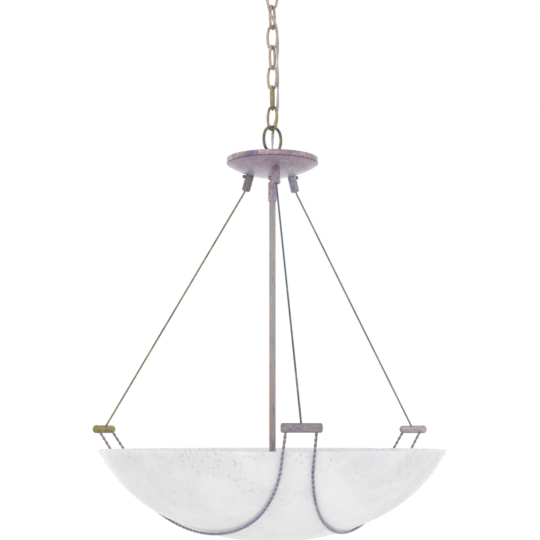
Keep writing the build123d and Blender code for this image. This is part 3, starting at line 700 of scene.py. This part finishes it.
def saucer_metal(name, dome_tones, band_tones):
    """The hub's patina, with a painted reflection that makes it paler low on its dome, broken on its band,
    and painted shade in the crease between.
    """
    material, make = new_finish(name)
    height = make.height()
    colour, grain = mottled(make, dome_tones, patch=120.0)
    band_colour, _ = mottled(make, band_tones, patch=80.0)
    dome_low = HUB_EDGE - HUB_DOME_DEPTH
    dome_high = HUB_EDGE - 0.4 * HUB_DOME_DEPTH
    # Painted reflection: the dome is mixed towards its pale tone low down, as if it showed the bright room
    # below.
    painted_reflection = 1 - make.band(height, dome_low * MM, dome_high * MM)
    on_band = make.band(height, (HUB_EDGE - 0.2) * MM, (HUB_EDGE + 0.3) * MM)
    # Painted shade: a dark line in the crease between the dome and the band.
    crease = 1 - make.band(abs(height - HUB_EDGE * MM), 0.5 * MM, 1.2 * MM)
    colour = make.mix(colour, dome_tones["pale"], painted_reflection * 0.7)
    colour = make.mix(colour, band_colour, on_band)
    colour = make.tint(colour, band_tones["dark"], grain, low=0.7, high=1.1, strength=crease * 0.9)
    patinated(make, colour, grain, coat=0.8)
    return material


def stem_metal(name, tones):
    """A drawn tube's patina in long streaks, warmer towards the heat of the lamps."""
    material, make = new_finish(name)
    colour, grain = mottled(make, tones, patch=160.0, stretch=(1.0, 1.0, 0.08))
    warmth = 1 - make.band(make.height(), STEM_WARM_LOW * MM, STEM_WARM_HIGH * MM)
    colour = make.tint(colour, tones["warm"], grain, low=0.85, high=1.1, strength=warmth * 0.6)
    patinated(make, colour, grain, coat=0.0)
    return material


def bar_metal(name, tones):
    """A crossbar's patina, with painted shade along its top and its underside."""
    material, make = new_finish(name)
    colour, grain = mottled(make, tones, patch=110.0)
    # Painted shade: darker towards the bar's top and underside, away from its middle height.
    painted_shade_offset = abs(make.height() - BAR_AT.z * MM)
    starts, full = 0.66 * BAR_R * MM, 0.95 * BAR_R * MM
    colour = make.tint(colour, tones["dark"], painted_shade_offset, low=starts, high=full, strength=0.85)
    patinated(make, colour, grain)
    return material


def strand_gap_shade(make, low, high):
    """1 between a rope's strands, where shade is painted, and 0 on them."""
    relief = make.node("ShaderNodeAttribute", {"attribute_name": "relief"}, output="Fac")
    return 1 - make.band(relief, low, high)


def cable_metal(name, tones):
    """Wire rope with painted shade between its strands."""
    material, make = new_finish(name)
    colour, grain = mottled(make, tones, patch=40.0)
    # Painted shade between the strands.
    patinated(make, make.mix(colour, tones["groove"], strand_gap_shade(make, low=0.35, high=0.9)), grain)
    return material


def rod_metal(name, tones):
    """Twisted rod with painted shade between its strands, and warmer above a height, where the painted shade
    is lighter.
    """
    material, make = new_finish(name)
    colour, grain = mottled(make, tones, patch=30.0)
    upper = make.band(make.height(), ROD_WARM_LOW * MM, ROD_WARM_HIGH * MM)
    colour = make.mix(colour, tones["warm"], upper * 0.8)
    # Painted shade between the strands, lighter above the rim.
    colour = make.mix(colour, tones["groove"], strand_gap_shade(make, low=0.55, high=0.82) * (1 - upper * 0.65))
    patinated(make, colour, grain)
    return material


def plain_metal(name, colour, worn, roughness):
    """Bare or plated metal with fine wear."""
    material, make = new_finish(name)
    wear = make.noise(scale=260.0, detail=3.0)
    make.surface(
        make.tint(colour, worn, wear, low=0.42, high=0.66, strength=1.0),
        metallic=1.0,
        roughness=roughness + (wear - 0.5) * 0.25,
        bump=wear,
        bump_height=0.02,
    )
    return material


def moulded(name, colour, shade, roughness, coat=0.0):
    """Moulded, fired or painted stuff with a slight grain."""
    material, make = new_finish(name)
    cloud = make.noise(scale=32.0, detail=2.0)
    grain = make.noise(scale=320.0, detail=3.0)
    make.surface(
        make.tint(colour, shade, cloud, low=0.4, high=0.75, strength=0.6),
        roughness=roughness + (grain - 0.5) * 0.2,
        coat_weight=coat,
        bump=grain,
        bump_height=0.03,
    )
    return material


def alabaster(name, tones):
    """White translucent glass with grey clouds, pale veins, clusters of specks and a trace of lavender."""
    material, make = new_finish(name)
    cloud = make.noise(scale=9.0, detail=6.0, rough=0.6, warp=0.5)
    drift = make.noise(scale=4.5, detail=3.0, warp=1.2, stretch=(1.0, 1.0, 0.7))
    trace = make.noise(scale=14.0, detail=3.0, warp=0.8)
    clustered = make.band(make.noise(scale=11.0, detail=2.0), low=0.44, high=0.58)
    speck_distance = make.node(
        "ShaderNodeTexVoronoi",
        {"feature": "F1"},
        {"Vector": make.place((1.0, 1.0, 0.6)), "Scale": 150.0, "Randomness": 1.0},
        output="Distance",
    )
    vein = make.node(
        "ShaderNodeTexWave",
        {"wave_type": "BANDS", "bands_direction": "DIAGONAL"},
        {"Vector": make.place(), "Scale": 1.6, "Distortion": 7.0, "Detail": 2.0, "Detail Scale": 1.4},
        output="Fac",
    )
    specks = (1 - make.band(speck_distance, low=0.1, high=0.4)) * (clustered * 0.75 + 0.25)
    colour = make.tint(tones["white"], tones["cloud"], cloud, low=0.42, high=0.62, strength=0.8)
    colour = make.mix(colour, tones["cluster"], clustered * 0.6)
    colour = make.tint(colour, tones["drift"], drift, low=0.52, high=0.6, strength=0.5)
    colour = make.tint(colour, tones["vein"], vein, low=0.8, high=0.95, strength=0.55)
    colour = make.tint(colour, tones["lavender"], trace, low=0.58, high=0.72, strength=0.4)
    make.surface(
        make.mix(colour, tones["speck"], specks * 0.56),
        roughness=0.32 + (cloud - 0.5) * 0.2,
        bump=cloud + drift,
        bump_height=0.12,
        coat_weight=0.25,
        subsurface_weight=0.6,
        subsurface_radius=(1.0, 1.0, 1.0),
        subsurface_scale=0.012,
    )
    return material


def palette(base, warm, cool, pale, dark, groove=(40, 38, 44)):
    """The tones of a patina, and the painted shade between a rope's strands, from their values on a screen.
    """
    given = {"base": base, "warm": warm, "cool": cool, "pale": pale, "dark": dark, "groove": groove}
    return {name: srgb(*colour) for name, colour in given.items()}


MAUVE = palette((166, 142, 160), (184, 144, 138), (146, 138, 166), (208, 202, 210), (118, 100, 122))
BAND = palette((156, 134, 146), (206, 148, 98), (96, 100, 136), (222, 210, 214), (74, 68, 98))
STEM = palette((170, 165, 165), (174, 140, 116), (150, 147, 155), (204, 198, 198), (102, 98, 94))
# The rod's groove tone is the painted shade between its strands.
ROD = palette(
    (168, 164, 182), (156, 136, 120), (148, 152, 188), (220, 216, 228), (126, 118, 138), groove=(60, 54, 74),
)
BRASS = palette((188, 162, 142), (178, 154, 112), (164, 146, 140), (236, 224, 216), (116, 96, 82))
OLIVE = palette((162, 146, 100), (168, 152, 74), (142, 132, 116), (214, 204, 176), (86, 78, 52))
BRONZE = palette((116, 112, 80), (138, 134, 62), (100, 100, 128), (186, 180, 156), (58, 56, 44))
GRIPS = {
    "front": palette((170, 150, 162), (190, 150, 130), (146, 140, 166), (210, 198, 208), (96, 82, 98)),
    "right": palette((170, 164, 178), (176, 156, 150), (140, 142, 166), (216, 212, 222), (86, 84, 100)),
    "left": palette((130, 122, 122), (196, 148, 88), (100, 104, 118), (176, 168, 166), (66, 62, 58)),
}
BARS = {
    "front": palette((150, 138, 142), (164, 130, 112), (138, 130, 156), (194, 184, 190), (74, 64, 60)),
    "right": palette((190, 180, 180), (168, 124, 106), (170, 162, 176), (214, 208, 210), (112, 84, 74)),
    "left": palette((152, 134, 62), (188, 138, 44), (112, 112, 62), (190, 176, 104), (66, 56, 22)),
}
WIRES = {
    "front": palette((108, 114, 126), (116, 116, 92), (88, 100, 124), (164, 170, 176), (66, 70, 80)),
    "right": palette((152, 146, 146), (158, 138, 122), (130, 130, 142), (196, 190, 190), (98, 92, 92)),
    "left": palette((154, 142, 106), (174, 152, 82), (124, 122, 102), (196, 188, 160), (94, 86, 60)),
}
GLASS = {
    "white": srgb(236, 236, 236),
    "cloud": srgb(226, 226, 228),
    "cluster": srgb(224, 224, 226),
    "drift": srgb(242, 242, 242),
    "vein": srgb(243, 243, 243),
    "lavender": srgb(226, 224, 238),
    "speck": srgb(194, 194, 199),
}

patina = aged_metal("patina", MAUVE)
hub_patina = saucer_metal("hub_patina", MAUVE, BAND)
grip_patina = {side: aged_metal(f"grip_patina_{side}", GRIPS[side], patch=130.0) for side in SIDES}
bar_patina_painted_shade = {side: bar_metal(f"bar_patina_painted_shade_{side}", BARS[side]) for side in SIDES}
cable_wire_painted_shade = {side: cable_metal(f"cable_wire_painted_shade_{side}", WIRES[side]) for side in SIDES}
stem_patina = stem_metal("stem_patina", STEM)
rod_patina = rod_metal("rod_patina", ROD)
chain_brass = aged_metal("chain_brass", BRASS, metallic=0.6, roughness=0.32)
link_olive = aged_metal("link_olive", OLIVE, metallic=0.6, roughness=0.32)
loop_bronze = aged_metal("loop_bronze", BRONZE, metallic=0.5, roughness=0.36, patch=150.0)
screw_steel = plain_metal("screw_steel", srgb(150, 144, 140), srgb(112, 100, 88), roughness=0.35)
zinc_steel = plain_metal("zinc_steel", srgb(186, 186, 180), srgb(150, 150, 142), roughness=0.35)
contact_brass = plain_metal("contact_brass", srgb(214, 180, 104), srgb(176, 140, 76), roughness=0.3)
cap_aluminium = plain_metal("cap_aluminium", srgb(206, 206, 204), srgb(170, 170, 168), roughness=0.3)
ground_green = moulded("ground_green", srgb(58, 128, 72), srgb(40, 96, 54), roughness=0.4)
cord_jacket = moulded("cord_jacket", srgb(196, 196, 200), srgb(150, 152, 160), roughness=0.25, coat=0.3)
nylon = moulded("nylon", srgb(226, 224, 214), srgb(206, 202, 190), roughness=0.5)
cluster_enamel = moulded("cluster_enamel", srgb(226, 222, 214), srgb(206, 202, 192), roughness=0.3, coat=0.4)
porcelain = moulded("porcelain", srgb(236, 232, 222), srgb(218, 212, 200), roughness=0.25, coat=0.5)
frosted = moulded("frosted", srgb(240, 240, 236), srgb(228, 228, 224), roughness=0.45)
bowl_glass = alabaster("bowl_glass", GLASS)


# Ceiling fitting

def make_canopy():
    foot = -CANOPY_DEPTH
    bulge = -CANOPY_BULGE_DEPTH
    inner_r = CANOPY_R - CANOPY_WALL
    inner_foot = foot + CANOPY_WALL
    inner_bulge = (CANOPY_BULGE_R - CANOPY_WALL, bulge + CANOPY_WALL)
    outer = arc((CANOPY_R, -CANOPY_EDGE), (CANOPY_BULGE_R, bulge), (CANOPY_FLAT_R, foot), steps=20)
    inner = arc((CANOPY_FLAT_R, inner_foot), inner_bulge, (inner_r, -CANOPY_EDGE), steps=20)
    hole = [(CANOPY_HOLE_R, foot), (CANOPY_HOLE_R, inner_foot)]
    profile = [(CANOPY_R, 0.0), *outer, *hole, *inner, (inner_r, 0.0)]
    bm = turned(profile, soften=0.4, segments=96)
    piece(bm, "canopy_cover", patina, "patina", "ceiling_fitting", "ceiling_canopy")


def make_collar():
    high = -CANOPY_DEPTH
    low = high - COLLAR_LENGTH
    profile = [
        (COLLAR_BORE_R, high), (COLLAR_R - COLLAR_CHAMFER, high), (COLLAR_R, high - COLLAR_CHAMFER),
        (COLLAR_R, low + COLLAR_TAPER), (COLLAR_FOOT_R, low), (COLLAR_BORE_R, low),
    ]
    bm = turned(profile, soften=0.3, segments=72)
    knurl(bm, COLLAR_R, COLLAR_KNURL, low, high)
    piece(bm, "screw_collar", patina, "patina", "ceiling_fitting", "canopy_collar")


def make_canopy_loop():
    top = lowest("canopy_collar") - CANOPY_LOOP_DROP
    foot = top - CANOPY_BOSS_BELOW
    ring = oval(**CANOPY_LOOP)
    ring.transform(hung(top, CANOPY_LOOP_TURN))
    boss = [
        (BOSS_CORD_R, foot), (BOSS_R, foot), (BOSS_R, CANOPY_BOSS_TOP), (BOSS_PIPE_R, CANOPY_BOSS_TOP),
        (BOSS_PIPE_R, CANOPY_PIPE_END), (BOSS_CORD_R, CANOPY_PIPE_END),
    ]
    bm = join(ring, turned(boss, soften=0.6))
    piece(bm, "canopy_ring", chain_brass, "chain_brass", "ceiling_fitting", "canopy_loop")


# Chain and cord

def make_chain():
    for number, turn in enumerate(LINK_TURNS, 1):
        node = f"chain_link_{number}"
        place = hung(highest(node), turn)
        ring = oval(LINK_LENGTH, LINK_WIDTH, LINK_WIRE, seam=LINK_SEAM)
        finish = link_olive if number > LINK_COUNT - OLIVE_LINKS else chain_brass
        piece(ring, f"link_ring_{number}", finish, "chain_brass", f"link_{number}", node, place=place)


def make_hub_loop():
    seat = lowest("hub_loop")
    top = seat + HUB_BOSS_HEIGHT
    pipe_end = seat + HUB_PIPE_DEPTH
    ring = oval(**HUB_LOOP)
    ring.transform(hung(highest("hub_loop"), HUB_LOOP_TURN))
    boss = [
        (BOSS_CORD_R, top), (HUB_BOSS_TOP_R, top), (BOSS_R, seat + HUB_BOSS_SHOULDER), (BOSS_R, seat),
        (BOSS_PIPE_R, seat), (BOSS_PIPE_R, pipe_end), (BOSS_CORD_R, pipe_end),
    ]
    bm = join(ring, turned(boss, soften=0.5))
    piece(bm, "hub_ring", loop_bronze, "chain_brass", "hub", "hub_loop")


def make_cord():
    """Two insulated cores in a slow twist, in one length for each joint of the chain."""
    line = spaced([p for p in line_through(CORD_POINTS) if p.z < CORD_STARTS * MM], CORD_STEP * MM)
    path = spaced(line, CORE_LAY * MM / CORE_STEPS)
    cores = wound(line, CORES, CORE_OFFSET, CORE_LAY, CORE_STEPS)
    numbers = range(1, LINK_COUNT + 1)
    bodies = ["ceiling_fitting", *[f"link_{n}" for n in numbers], "hub"]
    names = [*[f"chain_swing_{n}" for n in numbers], "hub_swing"]
    hinges = [JOINTS[name]["pos_m"][2] for name in names]
    ends = [line[0].z, *[(a + b) / 2 for a, b in zip(hinges, hinges[1:])], line[-1].z]
    overlap = CORD_OVERLAP * MM
    reach = CORD_BEND_REACH * MM
    for number, hinge in enumerate(hinges):
        high, low = ends[number] + overlap, ends[number + 1] - overlap
        keep = [i for i, p in enumerate(path) if low <= p.z <= high]
        stretch = [path[i] for i in keep]
        name = f"cord_{number + 1}"
        mesh = rope_mesh(name, [[core[i] for i in keep] for core in cores], CORE_R, roundness=3)
        nodes = ("supply_cord",) if number == 0 else ()
        cord = shown(mesh, name, cord_jacket, nodes)
        above, below = bodies[number], bodies[number + 1]
        hinge + reach
        hinge - reach
        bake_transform(cord)
        length_of(stretch)


# Hub

def dome_height(radius, wall=0.0):
    """The height of the hub's dome at a radius, or of its inside."""
    return DOME_CENTRE - math.sqrt((DOME_R - wall) ** 2 - radius**2)


def make_hub():
    step_r = HUB_R - HUB_LIP
    inner_r = HUB_R - HUB_WALL
    seat = dome_height(HUB_SEAT_R)
    inner_seat = seat + HUB_WALL
    face = [(r, dome_height(r)) for r in spread(HUB_SEAT_R, step_r, steps=24)]
    back = [(r, dome_height(r, HUB_WALL)) for r in spread(inner_r, HUB_SEAT_R, steps=24)]
    profile = [
        (PIPE_HOLE_R, seat), *face, (step_r, HUB_EDGE), (HUB_R, HUB_EDGE),
        (HUB_R, HUB_TOP), (inner_r, HUB_TOP), (inner_r, HUB_EDGE + HUB_INNER_RISE), *back[1:],
        (HUB_SEAT_R, inner_seat), (PIPE_HOLE_R, inner_seat),
    ]
    piece(turned(profile, soften=0.35, segments=128), "saucer", hub_patina, "patina", "hub", "hub_pan")


def make_lid():
    low = HUB_TOP - LID_DROP
    high = low + LID_RISE
    slope = LID_FOOT_R - LID_FLAT_R
    under = [
        (r, low + LID_RISE * (0.5 + 0.5 * math.cos(math.pi * (r - LID_FLAT_R) / slope)))
        for r in spread(LID_FLAT_R, LID_FOOT_R, steps=18)
    ]
    upper = [(r, z + LID_SHEET) for r, z in reversed(under)]
    profile = [
        (PIPE_HOLE_R, high), *under, (LID_R, low),
        (LID_R, low + LID_SHEET), *upper, (PIPE_HOLE_R, high + LID_SHEET),
    ]
    piece(turned(profile, soften=0.3, segments=128), "saucer_lid", patina, "patina", "hub", "hub_cover")


# Cables and their grips

def make_grips():
    bore_end = -GRIP_LENGTH + GRIP_BORE_DEPTH
    barrel = [
        (0.0, -GRIP_GAP), (GRIP_TOP_R, -GRIP_GAP), (GRIP_R, -GRIP_TOP_EDGE),
        *rounded(GRIP_R, -GRIP_LENGTH, GRIP_NOSE), (GRIP_MOUTH_R, -GRIP_LENGTH),
        (GRIP_BORE_R, -GRIP_LENGTH + GRIP_MOUTH_DEPTH), (GRIP_BORE_R, bore_end), (0.0, bore_end),
    ]
    socket_end = SCREW_HEAD_TO - SCREW_SOCKET_DEPTH
    screw = [
        (0.0, SCREW_FROM), (SCREW_R, SCREW_FROM), (SCREW_R, SCREW_HEAD_FROM),
        (SCREW_HEAD_R - SCREW_HEAD_FOOT, SCREW_HEAD_FROM),
        (SCREW_HEAD_R, SCREW_HEAD_FROM + SCREW_HEAD_FOOT),
        (SCREW_HEAD_R, SCREW_HEAD_TO - SCREW_HEAD_EDGE),
        (SCREW_HEAD_R - SCREW_HEAD_EDGE, SCREW_HEAD_TO),
        (SCREW_SOCKET_R, SCREW_HEAD_TO), (SCREW_SOCKET_R, socket_end), (0.0, socket_end),
    ]
    square_to_dome = moved(0, -GRIP_AT_R, dome_height(GRIP_AT_R)) @ Matrix.Rotation(-GRIP_LEAN, 4, "X")
    through_side = moved(0, 0, -SCREW_DROP) @ rotated(90, "X")
    for side, turn in SIDES.items():
        seat = rotated(turn) @ square_to_dome
        grip = turned(barrel, soften=0.2, segments=40)
        piece(grip, f"grip_{side}", grip_patina[side], "patina", "hub", f"cable_grip_{side}", place=seat)
        head = turned(screw, soften=0.15, segments=28)
        knurl(head, SCREW_HEAD_R, SCREW_KNURL, SCREW_HEAD_FROM, SCREW_HEAD_TO)
        piece(
            head, f"thumb_screw_{side}", screw_steel, "screw_steel", "hub", f"set_screw_{side}",
            place=seat @ through_side,
        )


def make_cables():
    axis = Vector((0, -math.sin(GRIP_LEAN), -math.cos(GRIP_LEAN)))
    seat = Vector((0, -GRIP_AT_R, dome_height(GRIP_AT_R)))
    top = seat + axis * (GRIP_LENGTH - GRIP_BORE_DEPTH)
    mouth = seat + axis * (GRIP_LENGTH - GRIP_MOUTH_DEPTH / 2)
    run = (BAR_AT - mouth).normalized()
    foot = BAR_AT + run * CABLE_IN_BAR
    for side, turn in SIDES.items():
        name = f"cable_{side}"
        points = [rotated(turn) @ p for p in (top, mouth, mouth + run * CABLE_BEND, foot)]
        line = line_through(points)
        strands = wound(line, CABLE_STRANDS, CABLE_TWIST_R, CABLE_LAY, CABLE_STEPS)
        mesh = rope_mesh(name, strands, CABLE_STRAND_R)
        mark_relief(mesh, line, CABLE_R)
        cable = shown(mesh, name, cable_wire_painted_shade[side], (f"suspension_cable_{side}",))
        start, end = points[1] * MM, points[3] * MM
        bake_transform(cable)
        path = spaced(line, CABLE_PATH_STEP * MM)
        length_of(path)


# Swivel and stem

def make_swivel():
    stud_foot = HUB_SEAT - STUD_LENGTH
    neck_foot = BALL_AT + beside(BALL_R, BALL_NECK_R)
    ball_foot = BALL_AT - beside(BALL_R, WIRE_WAY_R)
    stud = [
        (WIRE_WAY_R, HUB_SEAT), (SWIVEL_R, HUB_SEAT), (SWIVEL_R, stud_foot + STUD_CHAMFER),
        (SWIVEL_R - STUD_CHAMFER, stud_foot), (BALL_NECK_R, stud_foot),
        *arc((BALL_NECK_R, neck_foot), (BALL_R, BALL_AT), (WIRE_WAY_R, ball_foot), steps=14),
    ]
    piece(turned(stud, soften=0.2, segments=40), "ball_stud", patina, "patina", "hub", "swivel_ball")
    thread_foot = CUP_FOOT - CUP_THREAD
    lip = BALL_AT + CUP_LIP
    bore_top_r = beside(CUP_BORE_R, CUP_LIP)
    bore_foot = BALL_AT - beside(CUP_BORE_R, WIRE_WAY_R)
    cup = [
        (WIRE_WAY_R, thread_foot), (CUP_THREAD_R, thread_foot), (CUP_THREAD_R, CUP_FOOT),
        (GROOVE_R, CUP_FOOT), (SWIVEL_R, CUP_FOOT + GROOVE_SLOPE),
        (SWIVEL_R, lip - CUP_LIP_SLOPE), (CUP_LIP_R, lip),
        *arc((bore_top_r, lip), (CUP_BORE_R, BALL_AT), (WIRE_WAY_R, bore_foot), steps=14),
    ]
    piece(turned(cup, soften=0.15, segments=40), "ball_cup", patina, "patina", "stem", "swivel_cup")


def make_stem():
    low = CUP_FOOT - COUPLING_LENGTH
    coupling = [
        (COUPLING_BORE_R, CUP_FOOT), (GROOVE_R, CUP_FOOT), (SWIVEL_R, CUP_FOOT - GROOVE_SLOPE),
        (SWIVEL_R, low + COUPLING_CHAMFER), (SWIVEL_R - COUPLING_CHAMFER, low), (COUPLING_BORE_R, low),
    ]
    piece(turned(coupling, soften=0.2, segments=40), "coupling", patina, "patina", "stem", "stem_coupling")
    high, foot = highest("stem_tube"), lowest("stem_tube")
    tube = [(STEM_BORE_R, high), (STEM_R, high), (STEM_R, foot), (STEM_BORE_R, foot)]
    piece(turned(tube, soften=0.2, segments=36), "stem", stem_patina, "patina", "stem", "stem_tube")


# Bowl and cradle

def bowl_point(angle, offset):
    """A point of the bowl's profile by its slope, moved out from the glass by an offset."""
    if angle < FLOOR_ANGLE:
        reach = BOWL_FLOOR_ARC_R + offset
        return reach * math.sin(angle), FLOOR_CENTRE_Z - reach * math.cos(angle)
    reach = BOWL_SIDE_ARC_R + offset
    return SIDE_CENTRE_R + reach * math.sin(angle), SIDE_CENTRE_Z - reach * math.cos(angle)


def make_bowl():
    inner_rim = math.acos((SIDE_CENTRE_Z - RIM) / (BOWL_SIDE_ARC_R - BOWL_WALL))
    outside = [bowl_point(angle, 0) for angle in spread(0, RIM_ANGLE, steps=48)]
    inside = [bowl_point(angle, -BOWL_WALL) for angle in spread(inner_rim, 0, steps=48)]
    bm = turned([*outside, *inside], soften=BOWL_RIM_SOFT, segments=192, steps=4)
    piece(bm, "bowl_shade", bowl_glass, "alabaster_glass", "bowl", "glass_bowl")


def rod_across(slope):
    """Where the glass has a slope: the square of the rod's distance from its middle, and its place."""
    radius, height = bowl_point(slope, ROD_OFFSET)
    share = (RIM - height) / BOWL_DEPTH
    chord = ROD_CHORD_RIM + (ROD_CHORD_FLOOR - ROD_CHORD_RIM) * share
    return radius**2 - chord**2, chord, height


def rod_point(across):
    """The rod's point at a distance from its middle, found by halving the range of slopes."""
    low, high = 0.0, RIM_ANGLE
    for _ in range(ROD_HALVINGS):
        middle = (low + high) / 2
        if rod_across(middle)[0] < across**2:
            low = middle
        else:
            high = middle
    _, chord, height = rod_across(high)
    return Vector((across, -chord, height))


def rod_points():
    """The rod's route, with its middle at the front, from one bar to the next."""
    reach = math.sqrt(rod_across(RIM_ANGLE - ROD_SHORT_OF_RIM)[0])
    half = [rod_point(reach * math.sin(step)) for step in spread(0, math.pi / 2, steps=ROD_POINTS - 1)]
    swing = math.radians(ROD_TURN)
    away = -BAR_AT.y
    bar_x = away * math.sin(swing) - ROD_HOLE_OFFSET * math.cos(swing)
    bar_y = away * math.cos(swing) + ROD_HOLE_OFFSET * math.sin(swing)
    end = Vector((bar_x, -bar_y, BAR_AT.z + ROD_ABOVE_BAR_AXIS))
    half.append(half[-1].lerp(end, ROD_SHOULDER))
    half.append(end)
    return [Vector((-p.x, p.y, p.z)) for p in reversed(half[1:])] + half


def make_rods():
    points = rod_points()
    for side, turn in zip(("right", "back", "left"), SIDES.values()):
        name = f"twisted_rod_{side}"
        line = line_through([rotated(turn + ROD_TURN) @ p for p in points])
        strands = wound(line, ROD_STRANDS, ROD_TWIST_R, ROD_LAY, ROD_STEPS)
        mesh = rope_mesh(name, strands, ROD_STRAND_R)
        mark_relief(mesh, line, ROD_TWIST_R + ROD_STRAND_R)
        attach(shown(mesh, name, rod_patina, (f"cradle_rod_{side}",)), "cradle")


def make_bars():
    half = BAR_LENGTH / 2
    end = rounded(BAR_R, half, BAR_SOFT)
    profile = [(0.0, half), *reversed(end), *[(r, -z) for r, z in end], (0.0, -half)]
    for side, turn in SIDES.items():
        place = rotated(turn) @ moved(*BAR_AT) @ rotated(90, "Y")
        bm = turned(profile, segments=40)
        piece(bm, f"bar_{side}", bar_patina_painted_shade[side], "patina", "cradle", f"crossbar_{side}", place=place)


# Lamps

def make_lamp_caps():
    cap_end = CAP_FROM + CAP_LENGTH
    thread = []
    for number in range(THREAD_TURNS):
        crest = CAP_FROM + THREAD_FROM + number * THREAD_PITCH
        root = crest + THREAD_FLAT + THREAD_SLOPE
        thread += [(THREAD_CREST_R, crest), (THREAD_CREST_R, crest + THREAD_FLAT)]
        thread += [(THREAD_ROOT_R, root), (THREAD_ROOT_R, root + THREAD_FLAT)]
    cap = [
        (0.0, CAP_FROM), (CAP_TIP_R, CAP_FROM), (CAP_TIP_R, CAP_FROM + CAP_TIP),
        (CAP_CONE_R, CAP_FROM + CAP_CONE), (CAP_SHOULDER_R, CAP_FROM + CAP_SHOULDER), *thread,
        (CAP_SKIRT_R, cap_end - CAP_SKIRT), (CAP_SKIRT_R, cap_end), (0.0, cap_end),
    ]
    for side, turn in SIDES.items():
        outward = rotated(turn) @ moved(0, 0, LAMPS_AT) @ rotated(90, "X")
        piece(
            turned(cap, soften=0.25, segments=48), f"screw_cap_{side}", cap_aluminium, "lamp_cap_metal",
            f"lamp_{side}_cap", f"lamp_cap_{side}", place=outward, crease=CAP_CREASE,
        )


def finish_kept_solids():
    """Give the solids that show as they are their materials."""
    kept = {
        zinc_steel: ["mounting_strap", "canopy_nipple", "hub_nipple", "socket_arms"],
        ground_green: ["ground_screw"],
        screw_steel: ["strap_nut", "hub_nut", "grip_nuts", "stem_check_nut"],
        nylon: ["swivel_liner"],
        cluster_enamel: ["cluster_body", "cluster_cover", "cluster_finial"],
        contact_brass: ["socket_shells", "socket_contacts"],
        porcelain: [f"lamp_holder_{side}" for side in SIDES],
        frosted: [f"lamp_glass_{side}" for side in SIDES],
    }
    for finish, nodes in kept.items():
        for node in nodes:
            frame["nodes"][node].data.materials.clear()
            frame["nodes"][node].data.materials.append(finish)


make_canopy()
make_collar()
make_canopy_loop()
make_chain()
make_hub_loop()
make_cord()
make_hub()
make_lid()
make_grips()
make_cables()
make_swivel()
make_stem()
make_bowl()
make_rods()
make_bars()
make_lamp_caps()
finish_kept_solids()

# Studio, in metres

SOFT_LIGHT = 0.86
WHITE_LIGHT = 1.0
FLOOR_AT = -2.4
FLOOR_HALF = 6.0
OBJECT_MIDDLE = (0, 0, -0.55)

# Camera, fitted to the bowl's rim, the hub and the crossbars in the photograph
CAMERA_AWAY = 1.9017
CAMERA_ABOVE_RIM = 0.02176
CAMERA_TURN = math.radians(7.4)
CAMERA_PITCH = math.radians(7.318)
CAMERA_FOCUS_PX = 1280.5
PICTURE_PX = 540
AXIS_PX = 272.45
SENSOR_MM = 36.0


def make_world():
    """Soft even light, with a white background for what the camera, gloss and glass see."""
    world = bpy.data.worlds.new("studio")
    bpy.context.scene.world = world
    make = Finish(world)
    direct = 0.0
    for kind in ("Camera", "Glossy", "Transmission"):
        ray = make.node("ShaderNodeLightPath", output=f"Is {kind} Ray")
        direct = make.node("ShaderNodeMath", {"operation": "MAXIMUM"}, {0: direct, 1: ray})
    soft = make.node("ShaderNodeBackground", {}, {"Color": (1, 1, 1, 1), "Strength": SOFT_LIGHT})
    white = make.node("ShaderNodeBackground", {}, {"Color": (1, 1, 1, 1), "Strength": WHITE_LIGHT})
    both = make.node("ShaderNodeMixShader", {}, {0: direct, 1: soft, 2: white})
    make.node("ShaderNodeOutputWorld", {}, {"Surface": both})


def make_floor():
    bm = bmesh.new()
    bmesh.ops.create_grid(bm, x_segments=2, y_segments=2, size=FLOOR_HALF)
    bmesh.ops.translate(bm, verts=bm.verts[:], vec=(0, 0, FLOOR_AT))
    mesh = bpy.data.meshes.new("floor")
    bm.to_mesh(mesh)
    bm.free()
    floor = bpy.data.objects.new("floor", mesh)
    bpy.context.scene.collection.objects.link(floor)
    material, make = new_finish("pale_floor")
    grain = make.noise(scale=3.0, detail=2.0)
    colour = make.mix(srgb(246, 246, 246), srgb(240, 240, 240), grain)
    make.surface(colour, roughness=0.7)
    mesh.materials.append(material)


def add_light(name, place, size, power):
    lamp = bpy.data.lights.new(name, "AREA")
    lamp.shape = "DISK"
    lamp.size = size
    lamp.energy = power
    obj = bpy.data.objects.new(name, lamp)
    obj.location = place
    obj.rotation_euler = (Vector(OBJECT_MIDDLE) - Vector(place)).to_track_quat("-Z", "Y").to_euler()
    bpy.context.scene.collection.objects.link(obj)


def make_camera():
    data = bpy.data.cameras.new("camera")
    data.sensor_width = SENSOR_MM
    data.lens = CAMERA_FOCUS_PX / PICTURE_PX * SENSOR_MM
    camera = bpy.data.objects.new("camera", data)
    x = -math.sin(CAMERA_TURN) * CAMERA_AWAY
    y = -math.cos(CAMERA_TURN) * CAMERA_AWAY
    camera.location = (x, y, RIM * MM + CAMERA_ABOVE_RIM)
    yaw = math.atan2(AXIS_PX - PICTURE_PX / 2, CAMERA_FOCUS_PX)
    camera.rotation_euler = (math.pi / 2 + CAMERA_PITCH, 0, -CAMERA_TURN + yaw)
    bpy.context.scene.collection.objects.link(camera)
    bpy.context.scene.camera = camera


make_world()
make_floor()
make_camera()
add_light("key", place=(-1.2, -2.6, 0.5), size=1.6, power=6)
add_light("fill", place=(2.4, -1.6, -0.4), size=1.8, power=2)
add_light("below", place=(0.0, -0.6, -2.2), size=2.0, power=3)
bpy.context.scene.view_settings.view_transform = "Standard"
